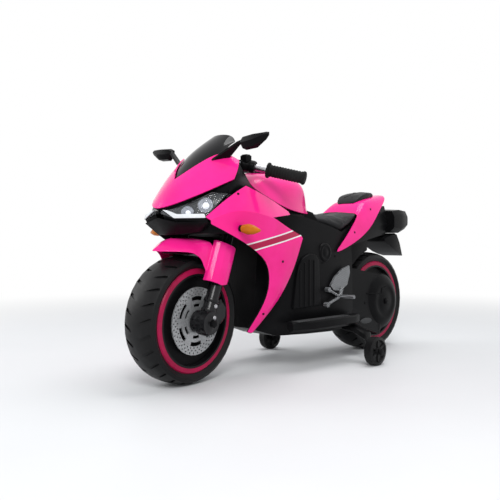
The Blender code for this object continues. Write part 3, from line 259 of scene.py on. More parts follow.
# %% [markdown]
# ## Metals, lenses and glass
# The bar and axles are plated steel with a lengthwise brushing. The brake discs and heel guards are
# plastic coloured to look like metal, so they are duller. The lenses let light through.

# %% Metals and lenses


def metal(name, light, dark, roughness, metallic, stretch):
    shader, place = finish(name, Metallic=metallic)
    brushed = place.stretched(stretch).noise(60.0, 4.0, 0.6)
    smear = place.noise(12.0, 3.0)
    connect(shader, brushed, 0.06, 0.0004, Base_Color=brushed.step(0.3, 0.7).mix(dark, light),
            Roughness=brushed * 0.14 + smear * 0.1 + (roughness - 0.1))


metal("steel", (0.5, 0.5, 0.52), (0.32, 0.32, 0.34), 0.24, 1.0, (0.3, 6, 6))
metal("silver_plastic", (0.66, 0.67, 0.69), (0.46, 0.47, 0.49), 0.34, 0.55, (8, 8, 8))
metal("disc_grey", (0.42, 0.43, 0.44), (0.25, 0.255, 0.26), 0.36, 0.5, (6, 6, 6))
metal("chrome", (0.42, 0.43, 0.46), (0.22, 0.23, 0.25), 0.12, 1.0, (5, 5, 5))
metal("mirror_glass", (0.82, 0.83, 0.85), (0.76, 0.77, 0.79), 0.1, 1.0, (1, 1, 1))


def lens(name, light, deep, transmission, ribs):
    shader, place = finish(name, Transmission_Weight=transmission, IOR=1.3, Specular_IOR_Level=0.3)
    z = place.axes()[2]
    cloud = place.noise(20.0, 2.0)
    connect(shader, z.wave(ribs) + cloud * 0.4, 0.25, 0.0008, Roughness=cloud * 0.06 + 0.04,
            Base_Color=cloud.step(0.3, 0.7).mix(deep, light))


lens("amber_lens", (0.62, 0.19, 0.01), (0.46, 0.12, 0.006), 0.15, 260.0)
lens("tail_lens", (0.5, 0.012, 0.01), (0.36, 0.006, 0.006), 0.25, 220.0)
print("metals and lenses ready")

# %% [markdown]
# ## Seat vinyl
# The seat is black vinyl with a pebbled grain: small rounded cells with a finer wrinkle across them.
# A Voronoi pattern gives the pebbles and a noise breaks them up. The grain is shinier on its tops.

# %% Seat vinyl
shader, place = finish("seat_vinyl", Specular_IOR_Level=0.18)
pebble = place.cells(520.0)
wrinkle = place.noise(60.0, 5.0)
worn = place.noise(7.0, 2.0).step(0.4, 0.7)
connect(shader, pebble * 0.7 + wrinkle * 0.5, 0.45, 0.0006,
        Base_Color=(worn * 0.6 + pebble * 0.4).mix((0.008, 0.008, 0.009), (0.02, 0.02, 0.021)),
        Roughness=pebble * 0.2 + worn * 0.08 + 0.36)
print(len(finishes), "finishes")

# %% [markdown]
# ## A stripe and a hatch
# A plain slanted stripe runs along each side fairing. It is part of the paint, so it is a mask in the
# material: the height above a sloping line, cut into a crimson band with two white edges. The heel guards
# are moulded with a crossed hatch, which two waves at right angles give as a bump; the same waves paint
# the grooves darker, as painted shade in them.

# %% Striped panel and hatched plate
STRIPE_FOOT = (-0.3277, 0.372)
STRIPE_SLOPE = 0.205
BAND_HALF, EDGE_HALF = 0.0085, 0.0125
shader, place = finish("striped_pink", Coat_Roughness=0.05, Specular_IOR_Level=0.14)
_, y, z = place.axes()
height = z - STRIPE_FOOT[1] - (y - STRIPE_FOOT[0]) * STRIPE_SLOPE
away = height.size()
white_edge = (away < EDGE_HALF) * (away > BAND_HALF)
band = away < BAND_HALF
cloud = place.noise(9.0, 4.0)
pink = cloud.step(0.35, 0.65).mix(PINK_DEEP, PINK)
painted = white_edge.mix(band.mix(pink, (0.42, 0.006, 0.06)), (0.8, 0.78, 0.79))
connect(shader, place.noise(38.0, 1.0), 0.05, 0.002, Base_Color=painted, Roughness=cloud * 0.05 + 0.14,
        Coat_Weight=0.14 - cloud * 0.03)
HATCH = 140.0
shader, place = finish("hatched_silver", Metallic=0.55)
_, y, z = place.axes()
# The hatch is both the bump and a painted shade that darkens its grooves.
hatch_and_groove_shade = (y + z).wave(HATCH) * (y - z).wave(HATCH)
connect(shader, hatch_and_groove_shade, 0.9, 0.002, Base_Color=hatch_and_groove_shade.mix((0.1, 0.105, 0.11), (0.52, 0.53, 0.55)),
        Roughness=hatch_and_groove_shade * -0.12 + 0.44)
print("stripe and hatch ready")

# %% [markdown]
# ## Skins over the solids
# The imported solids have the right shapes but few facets. A skin is a copy of a solid whose triangles are
# merged into quads. On the large panels the sharp edges are creased, and Subdivision Surface rounds the
# rest, as a moulding would be. The skin then stands for the solid, which stays for the physics.


# %% Helpers for copying and finishing a piece
def choose(piece):
    """Selects one object alone, in object mode."""
    bpy.ops.object.select_all(action="DESELECT")
    piece.select_set(True)
    bpy.context.view_layer.objects.active = piece


@contextmanager
def editing(everything=True):
    """Edit mode on the chosen piece, with all of it selected or with what was selected before."""
    bpy.ops.object.mode_set(mode="EDIT")
    if everything:
        bpy.ops.mesh.select_all(action="SELECT")
    yield
    bpy.ops.object.mode_set(mode="OBJECT")


def smooth(piece, angle=40):
    """Smooths the shading of every edge that is less sharp than an angle."""
    choose(piece)
    bpy.ops.object.shade_smooth_by_angle(angle=math.radians(angle))
    return piece


def modify(piece, kind, **settings):
    """Adds a modifier and applies it."""
    choose(piece)
    modifier = piece.modifiers.new(kind.title(), kind)
    for name, value in settings.items():
        setattr(modifier, name, value)
    bpy.ops.object.modifier_apply(modifier=modifier.name)


def dress(piece, look, body):
    """Gives a piece its finish, by name, and the body that it rides on."""
    piece.data.materials.clear()
    piece.data.materials.append(finishes[look])
    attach(piece, body)


def black(piece, body="chassis"):
    """Dresses a piece in the black of the frame."""
    dress(piece, "black_plastic", body)


def copy_of(node, name):
    """A copy of a CAD node's mesh, with its loose triangles merged into quads."""
    piece = bpy.data.objects.new(name, nodes[node].data.copy())
    bpy.context.collection.objects.link(piece)
    choose(piece)
    with editing():
        bpy.ops.mesh.customdata_custom_splitnormals_clear()
        bpy.ops.mesh.remove_doubles(threshold=0.00002)
        bpy.ops.mesh.tris_convert_to_quads(face_threshold=math.radians(25), shape_threshold=math.radians(60))
    return piece


def skin(node, levels=0, sharp=32):
    """A smooth copy that stands for a CAD node."""
    piece = copy_of(node, node + "_skin")
    if levels:
        with editing(everything=False):
            bpy.ops.mesh.select_mode(type="EDGE")
            bpy.ops.mesh.select_all(action="DESELECT")
            bpy.ops.mesh.edges_select_sharp(sharpness=math.radians(sharp))
            bpy.ops.transform.edge_crease(value=1)
        modify(piece, "SUBSURF", levels=levels, render_levels=levels)
    smooth(piece, sharp + 4)
    dress(piece, OWN_FINISH.get(node, slot_of[node]), body_of[node])
    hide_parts(node)
    return piece


def both(stem, value):
    """The same value for the left and the right piece of a name."""
    return {f"{stem}_{label}": value for _, label in SIDES}


PANELS = {"nose_cowl": 24, "windscreen": 48, "tank_cover": 48, "tail_cowl": 48, **both("side_fairing", 20)}
SOFT = ["seat", "pillion_pad"]
REMADE = ["front_fender", "fork_guard_left", "fork_guard_right", "headlight_left", "headlight_right",
          "front_disc_left", "front_disc_right", "grip_left", "grip_right"]
OWN_FINISH = {"front_rim": "front_ring", "rear_rim": "rear_ring", **both("side_fairing", "striped_pink"),
              **both("heel_guard", "hatched_silver"), **both("fork_leg", "fork_black")}
skins = {}
for node in nodes:
    if node in PANELS:
        skins[node] = skin(node, levels=1, sharp=PANELS[node])
    elif node not in SOFT + REMADE:
        skins[node] = skin(node)
print("skins:", len(skins))

# %% [markdown]
# ## Rear wheel covers
# The round covers beside the rear wheel fall away towards their rims, so that the crimson ring shows past
# them. The points on the rim of each frame skin are drawn towards the axle and towards the tyre.

# %% Draw in the rims of the wheel covers
COVER_DRAW, COVER_FALL = 0.84, 0.012
COVER_RIM = (0.112, 0.124)
RIM_FRONT, RIM_INNER, RIM_OUTER = 0.385, 0.05, 0.08
for side, label in SIDES:
    moved = 0
    for vertex in skins["frame_" + label].data.vertices:
        spoke = vertex.co - REAR_CENTRE
        spoke.x = 0
        on_rim = COVER_RIM[0] < spoke.length < COVER_RIM[1] and vertex.co.y > RIM_FRONT
        if on_rim and abs(vertex.co.x) > RIM_INNER:
            fall = side * COVER_FALL if abs(vertex.co.x) > RIM_OUTER else 0
            vertex.co += spoke * (COVER_DRAW - 1) - Vector((fall, 0, 0))
            moved += 1
    print("cover rim", label, moved, "points")

# %% [markdown]
# ## Black liners
# Inside each side fairing a black liner hides the back of the pink moulding. It is made from the inward
# faces of a copy of the solid, lifted off and thickened.

# %% Fairing liners
LINER_LIFT, LINER_THICK = 0.0008, 0.001
bpy.context.tool_settings.mesh_select_mode = (False, False, True)
for side, label in SIDES:
    liner = copy_of("side_fairing_" + label, "fairing_liner_" + label)
    for polygon in liner.data.polygons:
        polygon.select = polygon.normal.x * side > -0.15
    with editing(everything=False):
        bpy.ops.mesh.delete(type="FACE")
        bpy.ops.mesh.select_all(action="SELECT")
        bpy.ops.transform.shrink_fatten(value=LINER_LIFT)
    modify(liner, "SOLIDIFY", thickness=LINER_THICK, offset=1)
    black(liner)
    print(liner.name, len(liner.data.polygons), "faces")

# %% [markdown]
# ## Tools for new pieces
# The trim is modelled from primitives. Three ways cover most of it: an outline that is filled and
# extruded, a line that is spun round an axis like work on a lathe, and a bead that follows a route. Each
# piece is made at the world's origin and its place goes into its mesh, so that patterns stay put.


# %% Outline, lathe and bead
ASIDE = 0.3


def flip(point, side):
    """A point or a way of the left side, on either side."""
    return Vector((side * point[0], point[1], point[2]))


def mirrored(points, side):
    return [flip(point, side) for point in points]


def beside(side, y, z):
    """A point well out to a side of the bike, to send a ray from."""
    return flip((ASIDE, y, z), side)


def facing_place(point, way):
    """The place of a piece that stands on a point and looks a way."""
    return Matrix.Translation(point) @ Vector(way).to_track_quat("Z", "Y").to_matrix().to_4x4()


def start(add, name, **settings):
    """A new primitive, with nothing else selected."""
    bpy.ops.object.select_all(action="DESELECT")
    add(**settings)
    piece = bpy.context.object
    piece.name = name
    return piece


def outwards(piece):
    """Merges doubled points and turns every face outwards."""
    choose(piece)
    with editing():
        bpy.ops.mesh.remove_doubles(threshold=0.00001)
        bpy.ops.mesh.normals_make_consistent(inside=False)


def rounded(piece, width):
    """Bevels the edges and smooths the shading between them."""
    modify(piece, "BEVEL", width=width, segments=3, limit_method="ANGLE", angle_limit=math.radians(35))
    return smooth(piece)


def inset_face(piece, way, thickness, push, shrink=1):
    """Insets the faces that look a way and moves them, in for a hollow or out for a boss."""
    for polygon in piece.data.polygons:
        polygon.select = polygon.normal.dot(way) > 0.8
    with editing(everything=False):
        bpy.ops.mesh.select_mode(type="FACE")
        bpy.ops.mesh.inset(thickness=thickness)
        bpy.ops.mesh.extrude_region_move(TRANSFORM_OT_translate={"value": push})
        if shrink != 1:
            bpy.ops.transform.resize(value=(shrink, shrink, 1))


def plate(name, outline, way, bevel):
    """An outline of points, filled and extruded along a way."""
    piece = start(bpy.ops.mesh.primitive_circle_add, name, vertices=len(outline), fill_type="NGON")
    for vertex, point in zip(piece.data.vertices, outline):
        vertex.co = point
    with editing():
        bpy.ops.mesh.extrude_region_move(TRANSFORM_OT_translate={"value": way})
    outwards(piece)
    return rounded(piece, bevel) if bevel else piece


def turned(name, profile, centre, way, steps=32):
    """A line of (radius, along) spun round an axis, then set at a centre and turned to point a way."""
    piece = start(bpy.ops.mesh.primitive_circle_add, name, vertices=max(3, len(profile)))
    mesh = piece.data
    mesh.clear_geometry()
    mesh.from_pydata([(r, 0, u) for r, u in profile], [(i, i + 1) for i in range(len(profile) - 1)], [])
    modify(piece, "SCREW", steps=steps, render_steps=steps, use_merge_vertices=True, merge_threshold=0.00002)
    outwards(piece)
    mesh.transform(facing_place(centre, way))
    return smooth(piece)


def bead(name, route, radius):
    """A round bead along a route of points."""
    piece = start(bpy.ops.curve.primitive_nurbs_path_add, name)
    curve = piece.data
    curve.splines.clear()
    line = curve.splines.new("POLY")
    line.points.add(len(route) - 1)
    for target, point in zip(line.points, route):
        target.co = (*point, 1)
    curve.bevel_depth = radius
    curve.bevel_resolution = 3
    curve.use_fill_caps = True
    choose(piece)
    bpy.ops.object.convert(target="MESH")
    piece = bpy.context.object
    outwards(piece)
    return smooth(piece, 50)


def joined(pieces, name):
    """Several pieces made one object."""
    bpy.ops.object.select_all(action="DESELECT")
    for piece in pieces:
        piece.select_set(True)
    bpy.context.view_layer.objects.active = pieces[0]
    bpy.ops.object.join()
    pieces[0].name = name
    return pieces[0]


def copies(master, places, name):
    """The master copied to each place, and all copies joined. The master itself goes."""
    made = []
    for place in places:
        piece = bpy.data.objects.new(name, master.data.copy())
        piece.data.transform(place)
        bpy.context.collection.objects.link(piece)
        made.append(piece)
    bpy.data.objects.remove(master)
    return joined(made, name)


def touch(node, origin, way):
    """Where a ray first meets a skin, and the way that the skin faces there."""
    hit, point, facing, _ = skins[node].ray_cast(Vector(origin), Vector(way).normalized())
    return (point, facing) if hit else (None, None)


print("tools ready")

# %% [markdown]
# ## Front fender and fork guards
# On the bike the fender and the two fork guards are one moulding: the crown flows over the tyre and then
# down in front of each leg. The solids are three pieces. A new deck is shaped for the crown, joined with
# their copies and remeshed in small voxels, and a smooth pass rounds the welds into fillets.

# %% Shape the fender deck
RAKE, PARKED_TURN = math.radians(20), math.radians(7.5)
STEER_AXIS = Vector((0, math.sin(RAKE), math.cos(RAKE)))
parked = Matrix.Translation(FRONT_CENTRE) @ Matrix.Rotation(PARKED_TURN, 4, STEER_AXIS)
FENDER_ROWS = [(-0.12, 0.003, 0.1905, 0.188, 0.0), (-0.112, 0.011, 0.195, 0.1878, 0.0),
               (-0.098, 0.025, 0.203, 0.1878, 0.0), (-0.078, 0.045, 0.2135, 0.188, 0.05),
               (-0.06, 0.062, 0.2205, 0.188, 0.15), (-0.041, 0.074, 0.2225, 0.185, 0.35),
               (-0.018, 0.0785, 0.223, 0.1705, 0.6), (-0.0085, 0.0795, 0.223, 0.151, 0.8),
               (0.003, 0.08, 0.2225, 0.127, 1.0), (0.022, 0.08, 0.2215, 0.128, 1.0)]
ROOF = ((0, 0), (0.25, 0.14), (0.5, 0.38), (0.75, 0.68), (0.9, 0.86), (1, 1))
BOX = ((0, 0), (0.5, 0.02), (0.92, 0.08), (1, 0.16), (1, 0.55), (1, 1))
COLUMNS, LAST_ROW = len(ROOF) - 1, len(FENDER_ROWS) - 1
deck = start(bpy.ops.mesh.primitive_grid_add, "fender_deck", x_subdivisions=2 * COLUMNS,
             y_subdivisions=LAST_ROW)
for vertex in deck.data.vertices:
    row = round((vertex.co.y + 1) / 2 * LAST_ROW)
    column = round(vertex.co.x * COLUMNS)
    y, half, crown, low, square = FENDER_ROWS[row]
    out, drop = (r + (b - r) * square for r, b in zip(ROOF[abs(column)], BOX[abs(column)]))
    out, height = half * out, crown - (crown - low) * drop
    vertex.co = (math.copysign(out, column), y, height)
outwards(deck)
modify(deck, "SUBSURF", levels=2, render_levels=2)
modify(deck, "SOLIDIFY", thickness=0.0036, offset=-1)
deck.data.transform(parked)
print("fender deck:", len(deck.data.polygons), "faces")

# %% [markdown]
# The deck, the rear of the fender and the two guards are joined. The copies of the solids are swollen a
# little first, so that they overlap the deck and the voxels make one closed surface of them.

# %% Weld the deck, the rear of the fender and the guards
VOXEL_FENDER, OVERLAP = 0.0016, 0.0007
REAR_CUT = FRONT_CENTRE + Vector((0, 0.004, 0))
forms = [deck]
for node in ("front_fender", "fork_guard_left", "fork_guard_right"):
    form = copy_of(node, node + "_form")
    with editing():
        bpy.ops.transform.shrink_fatten(value=OVERLAP)
        if node == "front_fender":
            bpy.ops.mesh.select_all(action="SELECT")
            bpy.ops.mesh.bisect(plane_co=REAR_CUT, plane_no=(0, 1, 0), use_fill=True, clear_inner=True)
    forms.append(form)
fender = joined(forms, "fender_moulding")
modify(fender, "REMESH", mode="VOXEL", voxel_size=VOXEL_FENDER)
modify(fender, "SMOOTH", factor=0.5, iterations=8)
choose(fender)
bpy.ops.object.shade_smooth()
dress(fender, "gloss_pink", "front_end")
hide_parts("front_fender", "fork_guard_left", "fork_guard_right")
print("fender moulding:", len(fender.data.polygons), "faces")

# %% [markdown]
# ## Inner arch of painted shade
# A thin black arch under the fender is painted shade: it stands for the inside of the crown, which lies in
# shadow. It is a strip of a grid wrapped round the wheel a few millimetres above the tyre, between the two
# sides of the fender.

# %% Inner arch under the fender
ARCH_RADIUS, ARCH_HALF, ARCH_TAPER = 0.182, 0.0765, 0.028
ARCH_MIDDLE, ARCH_SPAN = 9.5, 21.5
# The arch is black as painted shade under the crown.
arch = start(bpy.ops.mesh.primitive_grid_add, "fender_shade_arch", x_subdivisions=6, y_subdivisions=16)
for vertex in arch.data.vertices:
    turn = math.radians(ARCH_MIDDLE + ARCH_SPAN * vertex.co.y)
    half = ARCH_HALF - ARCH_TAPER * max(0, -vertex.co.y)
    vertex.co = (half * vertex.co.x, ARCH_RADIUS * math.sin(turn), ARCH_RADIUS * math.cos(turn))
outwards(arch)
modify(arch, "SOLIDIFY", thickness=0.0018, offset=1)
arch.data.transform(parked)
smooth(arch, 30)
black(arch, "front_end")
print("inner arch:", len(arch.data.polygons), "faces")

# %% [markdown]
# ## Headlights
# Each headlight is a dark hollow with two bright round lamps behind a clear cover, and a white running
# light below it. The housing is the outline of the lamp opening, extruded back; its front face is inset
# and pushed in to make the hollow. The reflectors are turned bowls with a small dome in the middle. The
# domes glow a little: the glow is a painted highlight at the centre of each lamp.

# %% Shapes and finishes of the headlights
LAMP_FACE = [(0.012, -0.524, 0.459), (0.064, -0.517, 0.444), (0.12, -0.468, 0.444), (0.136, -0.4, 0.512),
             (0.116, -0.437, 0.514), (0.079, -0.478, 0.489), (0.036, -0.517, 0.469), (0.012, -0.522, 0.467)]
LAMP_DEPTH, LAMP_WAY, LAMP_AIM = (-0.01, 0.026, 0), (0.604, -0.691, 0.397), (0.55, -0.8, 0.2)
LAMPS = (((0.0803, -0.4919, 0.4645), 0.0175), ((0.1091, -0.4552, 0.484), 0.0215))
LAMP_SINK = 0.007
BOWL = ((1, 0), (0.96, 0.0015), (0.9, 0), (0.74, -0.006), (0.45, -0.01), (0, -0.0115), (0, -0.013),
        (0.5, -0.012), (0.86, -0.007), (1, 0))
DOME = ((0, 0.001), (0.22, 0), (0.36, -0.003), (0.4, -0.0095), (0, -0.0105))
RUNNING_LIGHT = (((0.018, -0.5245, 0.469), (0.036, -0.5245, 0.4672), (0.066, -0.519, 0.4565),
                  (0.064, -0.5225, 0.446)),
                 ((0.066, -0.519, 0.4565), (0.124, -0.4765, 0.457), (0.128, -0.473, 0.4465),
                  (0.064, -0.5225, 0.446)))
LAMP_SILL = (((0.016, -0.5215, 0.468), (0.064, -0.5195, 0.447), (0.064, -0.513, 0.436),
              (0.016, -0.515, 0.44)),
             ((0.064, -0.5195, 0.447), (0.129, -0.47, 0.4475), (0.127, -0.46, 0.434),
              (0.064, -0.508, 0.434)))
LAMP_BROW = [(0.004, -0.518, 0.473), (0.035, -0.512, 0.477), (0.08, -0.472, 0.499), (0.118, -0.428, 0.524),
             (0.143, -0.381, 0.549), (0.134, -0.392, 0.512), (0.116, -0.428, 0.512), (0.079, -0.469, 0.487),
             (0.036, -0.507, 0.467), (0.004, -0.512, 0.463)]
INNER_FAIRING = [(0.132, -0.402, 0.51), (0.14, -0.386, 0.548), (0.12, -0.346, 0.602),
                 (0.086, -0.272, 0.556), (0.106, -0.272, 0.535), (0.136, -0.338, 0.531)]
shader, place = finish("running_white", Specular_IOR_Level=0.5)
frost = place.noise(60.0, 2.0)
connect(shader, frost, 0.1, 0.0006, Base_Color=frost.mix((0.66, 0.68, 0.7), (0.8, 0.82, 0.84)),
        Roughness=frost * 0.15 + 0.18)
# The emission is a painted highlight: it gives the bright centre of each lamp.
shader, place = finish("bulb_painted_highlight", Emission_Strength=0.55)
painted_glint = place.noise(90.0, 2.0)
connect(shader, Base_Color=painted_glint.mix((0.72, 0.74, 0.78), (0.86, 0.88, 0.92)), Roughness=painted_glint * 0.1 + 0.08,
        Emission_Color=painted_glint.mix((0.7, 0.72, 0.8), (0.9, 0.92, 1.0)))
shader, place = finish("lamp_glass", Alpha=0.06, IOR=1.45)
haze = place.noise(25.0, 3.0)
connect(shader, Base_Color=haze.mix((0.6, 0.63, 0.66), (0.72, 0.75, 0.78)), Roughness=haze * 0.05 + 0.02)
print(len(LAMPS), "lamps to a headlight")

# %% [markdown]
# The hollow, the lamps and the cover of one side are drawn on the left and flipped for the right. Black
# trim closes the gaps round them: a sill below, a brow above, and a panel between the lamp and the fairing.

# %% Headlight housings, lamps and covers
for side, label in SIDES:
    face = mirrored(LAMP_FACE, side)
    back = flip(LAMP_DEPTH, side)
    forward = flip(LAMP_WAY, side)
    aim = flip(LAMP_AIM, side).normalized()
    housing = plate("lamp_housing_" + label, face, back, 0)
    inset_face(housing, forward, 0.0025, back * 0.8)
    rounded(housing, 0.0006)
    dress(housing, "gloss_black", "chassis")
    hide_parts("headlight_" + label)
    bowls = []
    domes = []
    for spot, radius in LAMPS:
        centre = flip(spot, side) - forward * LAMP_SINK
        bowls.append(turned("bowl", [(radius * share, along) for share, along in BOWL], centre, aim))
        domes.append(turned("dome", [(radius * share, along) for share, along in DOME], centre, aim, 24))
    dress(joined(bowls, "reflectors_" + label), "chrome", "chassis")
    dress(joined(domes, "bulb_domes_" + label), "bulb_painted_highlight", "chassis")
    cover = plate("lamp_cover_" + label, [p + back * 0.02 for p in face], -back * 0.05, 0.0004)
    dress(cover, "lamp_glass", "chassis")
    arms = [plate("arm", mirrored(arm, side), (0, 0.006, 0), 0.0008) for arm in RUNNING_LIGHT]
    dress(joined(arms, "running_light_" + label), "running_white", "chassis")
    sills = [plate("sill", mirrored(sill, side), (0, 0.003, 0), 0.0006) for sill in LAMP_SILL]
    black(joined(sills, "lamp_sill_" + label))
    black(plate("lamp_brow_" + label, mirrored(LAMP_BROW, side), (0, 0.008, 0), 0.0006))
    inwards = flip((-0.003, 0.002, 0), side)
    black(plate("inner_fairing_" + label, mirrored(INNER_FAIRING, side), inwards, 0.0006))
print("headlights made")

# %% [markdown]
# ## Chin apron
# A black wall under the headlights closes the chin. It is two flat walls to a side, joined into one piece.

# %% Chin apron
APRON = ((0, -0.445, 0.446, 0.4045), (0.108, -0.44, 0.446, 0.408), (0.152, -0.398, 0.446, 0.406))
walls = []
for side, label in SIDES:
    for (x1, y1, top1, low1), (x2, y2, top2, low2) in zip(APRON, APRON[1:]):
        outline = [(x1, y1, top1), (x2, y2, top2), (x2, y2, low2), (x1, y1, low1)]
        walls.append(plate("wall", mirrored(outline, side), (0, 0.004, 0), 0.0008))
black(joined(walls, "chin_apron"))
print("apron:", len(walls), "walls")

# %% [markdown]
# ## Brake discs
# The discs are moulded to look drilled. The copy of each solid already has its curved slots. One small
# cylinder, copied round the rim in three rows, is the drill, and a Boolean takes all its holes at once.

# %% Drill the brake discs
HOLE_ROWS, HOLES, DISC_OUT = (0.0725, 0.0795, 0.0865), 34, 0.048
WHEEL_AXIS = Vector((0.99144, 0.12266, -0.04464))
wheel_turn = WHEEL_AXIS.to_track_quat("X", "Z").to_matrix().to_4x4()
for side, label in SIDES:
    node = "front_disc_" + label
    disc = copy_of(node, node + "_drilled")
    drill = start(bpy.ops.mesh.primitive_cylinder_add, "drill", vertices=10, radius=0.0025, depth=0.03,
                  rotation=(0, math.radians(90), 0))
    bpy.ops.object.transform_apply(location=False, rotation=True, scale=False)
    spots = []
    for row, radius in enumerate(HOLE_ROWS):
        for i in range(HOLES):
            angle = 2 * math.pi * (i + row / 2) / HOLES
            spot = Vector((side * DISC_OUT, radius * math.cos(angle), radius * math.sin(angle)))
            spots.append(Matrix.Translation(FRONT_CENTRE) @ wheel_turn @ Matrix.Translation(spot))
    holes = copies(drill, spots, "drill_holes")
    modify(disc, "BOOLEAN", operation="DIFFERENCE", solver="EXACT", object=holes)
    bpy.data.objects.remove(holes)
    smooth(disc, 30)
    dress(disc, "disc_grey", "front_wheel")
    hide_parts(node)
print("discs drilled")

# %% [markdown]
# ## Grips
# A moulded rubber grip has a flange at the inner end, a row of soft ribs and a rounded end. A line with
# a wave in it, spun on the lathe, gives all of that at once.

# %% Ribbed grips
GRIPS = {"left": ((0.1236, -0.2358, 0.5874), (0.8484, 0.4742, -0.2354)),
         "right": ((-0.1325, -0.2675, 0.5989), (-0.9556, 0.251, -0.1541))}
BORE, RIB_POINTS, RIB_PITCH = 0.0102, 44, 0.0082
for label, (inner_end, way) in GRIPS.items():
    profile = [(BORE, 0.0002), (0.0215, 0.0002), (0.0222, 0.003), (0.0215, 0.0058), (0.0168, 0.0075)]
    for i in range(RIB_POINTS):
        along = 0.01 + 0.09 * i / (RIB_POINTS - 1)
        profile.append((0.0166 + 0.0008 * math.sin(2 * math.pi * along / RIB_PITCH), along))
    profile += [(0.017, 0.1025), (0.019, 0.104), (0.0194, 0.1075), (0.018, 0.1105), (0.015, 0.1118),
                (0.006, 0.112), (0, 0.112), (0, 0.111), (BORE, 0.1108), (BORE, 0.0002)]
    grip = turned("ribbed_grip_" + label, profile, inner_end, way, 40)
    dress(grip, "grip_rubber", "front_end")
    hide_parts("grip_" + label)
print("grips made")

# %% [markdown]
# ## Perches on the bar
# Inside each grip a black clamp holds a small brake reservoir, as on a real sport bike. The clamp is one
# more lathe profile round the bar. The reservoir is a cube scaled to its size, with a lid raised from its
# top face, bevelled and set above the bar.

# %% Perches and reservoirs
PERCH = [(BORE, 0), (0.015, 0), (0.0168, 0.002), (0.0172, 0.012), (0.0158, 0.014), (0.0158, 0.026),
         (0.018, 0.028), (0.018, 0.038), (0.016, 0.042), (BORE, 0.042), (BORE, 0)]
PERCH_BACK, CUP_RISE, UP = 0.078, Vector((0, -0.006, 0.018)), Vector((0, 0, 1))
for label, (inner_end, way) in GRIPS.items():
    foot = Vector(inner_end) - Vector(way) * PERCH_BACK
    perch = turned("perch", PERCH, foot, way, 28)
    cup = start(bpy.ops.mesh.primitive_cube_add, "cup", size=1)
    cup.data.transform(Matrix.Diagonal((0.024, 0.022, 0.02, 1)))
    inset_face(cup, UP, 0.0025, (0, 0, 0.003))
    rounded(cup, 0.0016)
    cup.data.transform(Matrix.Translation(foot + Vector(way) * 0.018 + CUP_RISE))
    black(joined([perch, cup], "bar_perch_" + label), "front_end")
print("perches made")

# %% [markdown]
# ## Seat and pad
# The saddle and the pad behind it are foam under vinyl. The solid is remeshed in even voxels, drawn in a
# little, and then blown up by cloth pressure with its underside held, so the cover goes taut over the
# foam. How far a point may move is capped. The front of the pad is first drawn forward along the tail and
# thinned, and its underside is bedded on the tail. A sewn bead then follows the upper edge.

# %% Blow up the seat and the pad
UNDERSIDE = -0.3
PAD_REACH, PAD_TAPER, PAD_BED = 0.01, 0.45, 0.001
VOXEL, SWELL, DRAW_IN = 0.005, 0.005, -0.0025
FRAMES, PRESSURE, ABOVE = 20, 4, 0.8


def draw_forward(pad, carrier):
    """Draws the front of a pad forward along its carrier, thins it there and beds its underside."""
    places = [point.co.y for point in pad.data.vertices]
    below = [point.normal.z < UNDERSIDE for point in pad.data.vertices]
    front, rear = min(places), max(places)
    for point, bedded in zip(pad.data.vertices, below):
        share = (rear - point.co.y) / (rear - front)
        ahead = point.co.y - PAD_REACH * share ** 2
        under = touch(carrier, (point.co.x, point.co.y, ABOVE), (0, 0, -1))[0]
        there = touch(carrier, (point.co.x, ahead, ABOVE), (0, 0, -1))[0]
        if under and there:
            height = -PAD_BED if bedded else (point.co.z - under.z) * (1 - PAD_TAPER * share ** 4)
            point.co.z = there.z + height
            point.co.y = ahead


def cushion(node):
    """A padded cover over the foam of a node, swollen by cloth pressure."""
    pad = copy_of(node, node + "_cushion")
    modify(pad, "REMESH", mode="VOXEL", voxel_size=VOXEL)
    modify(pad, "SMOOTH", factor=0.5, iterations=4)
    with editing():
        bpy.ops.transform.shrink_fatten(value=DRAW_IN)
    if node == "pillion_pad":
        draw_forward(pad, "tail_cowl")
    points = pad.data.vertices
    before = [point.co.copy() for point in points]
    held = pad.vertex_groups.new(name="underside")
    held.add([point.index for point in points if point.normal.z < UNDERSIDE], 1.0, "REPLACE")
    cloth = pad.modifiers.new("Swell", "CLOTH")
    cloth.settings.quality = 5
    cloth.settings.mass = 0.3
    cloth.settings.use_pressure = True
    cloth.settings.uniform_pressure_force = PRESSURE
    cloth.settings.effector_weights.gravity = 0
    cloth.settings.vertex_group_mass = "underside"
    cloth.point_cache.frame_end = FRAMES
    for number in range(1, FRAMES + 1):
        bpy.context.scene.frame_set(number)
    choose(pad)
    bpy.ops.object.modifier_apply(modifier="Swell")
    bpy.context.scene.frame_set(1)
    for point, rest in zip(pad.data.vertices, before):
        move = point.co - rest
        if move.length > SWELL:
            point.co = rest + move.normalized() * SWELL
    modify(pad, "SUBSURF", levels=1, render_levels=1)
    choose(pad)
    bpy.ops.object.shade_smooth()
    dress(pad, "seat_vinyl", body_of[node])
    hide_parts(node)
    skins[node] = pad
    return pad


for node in SOFT:
    pad = cushion(node)
    print(node, "cushion:", len(pad.data.polygons), "faces")

# %% [markdown]
# A seam runs along each upper edge. Rays that lean down and inwards find points on the cushion, and a thin
# bead follows them.

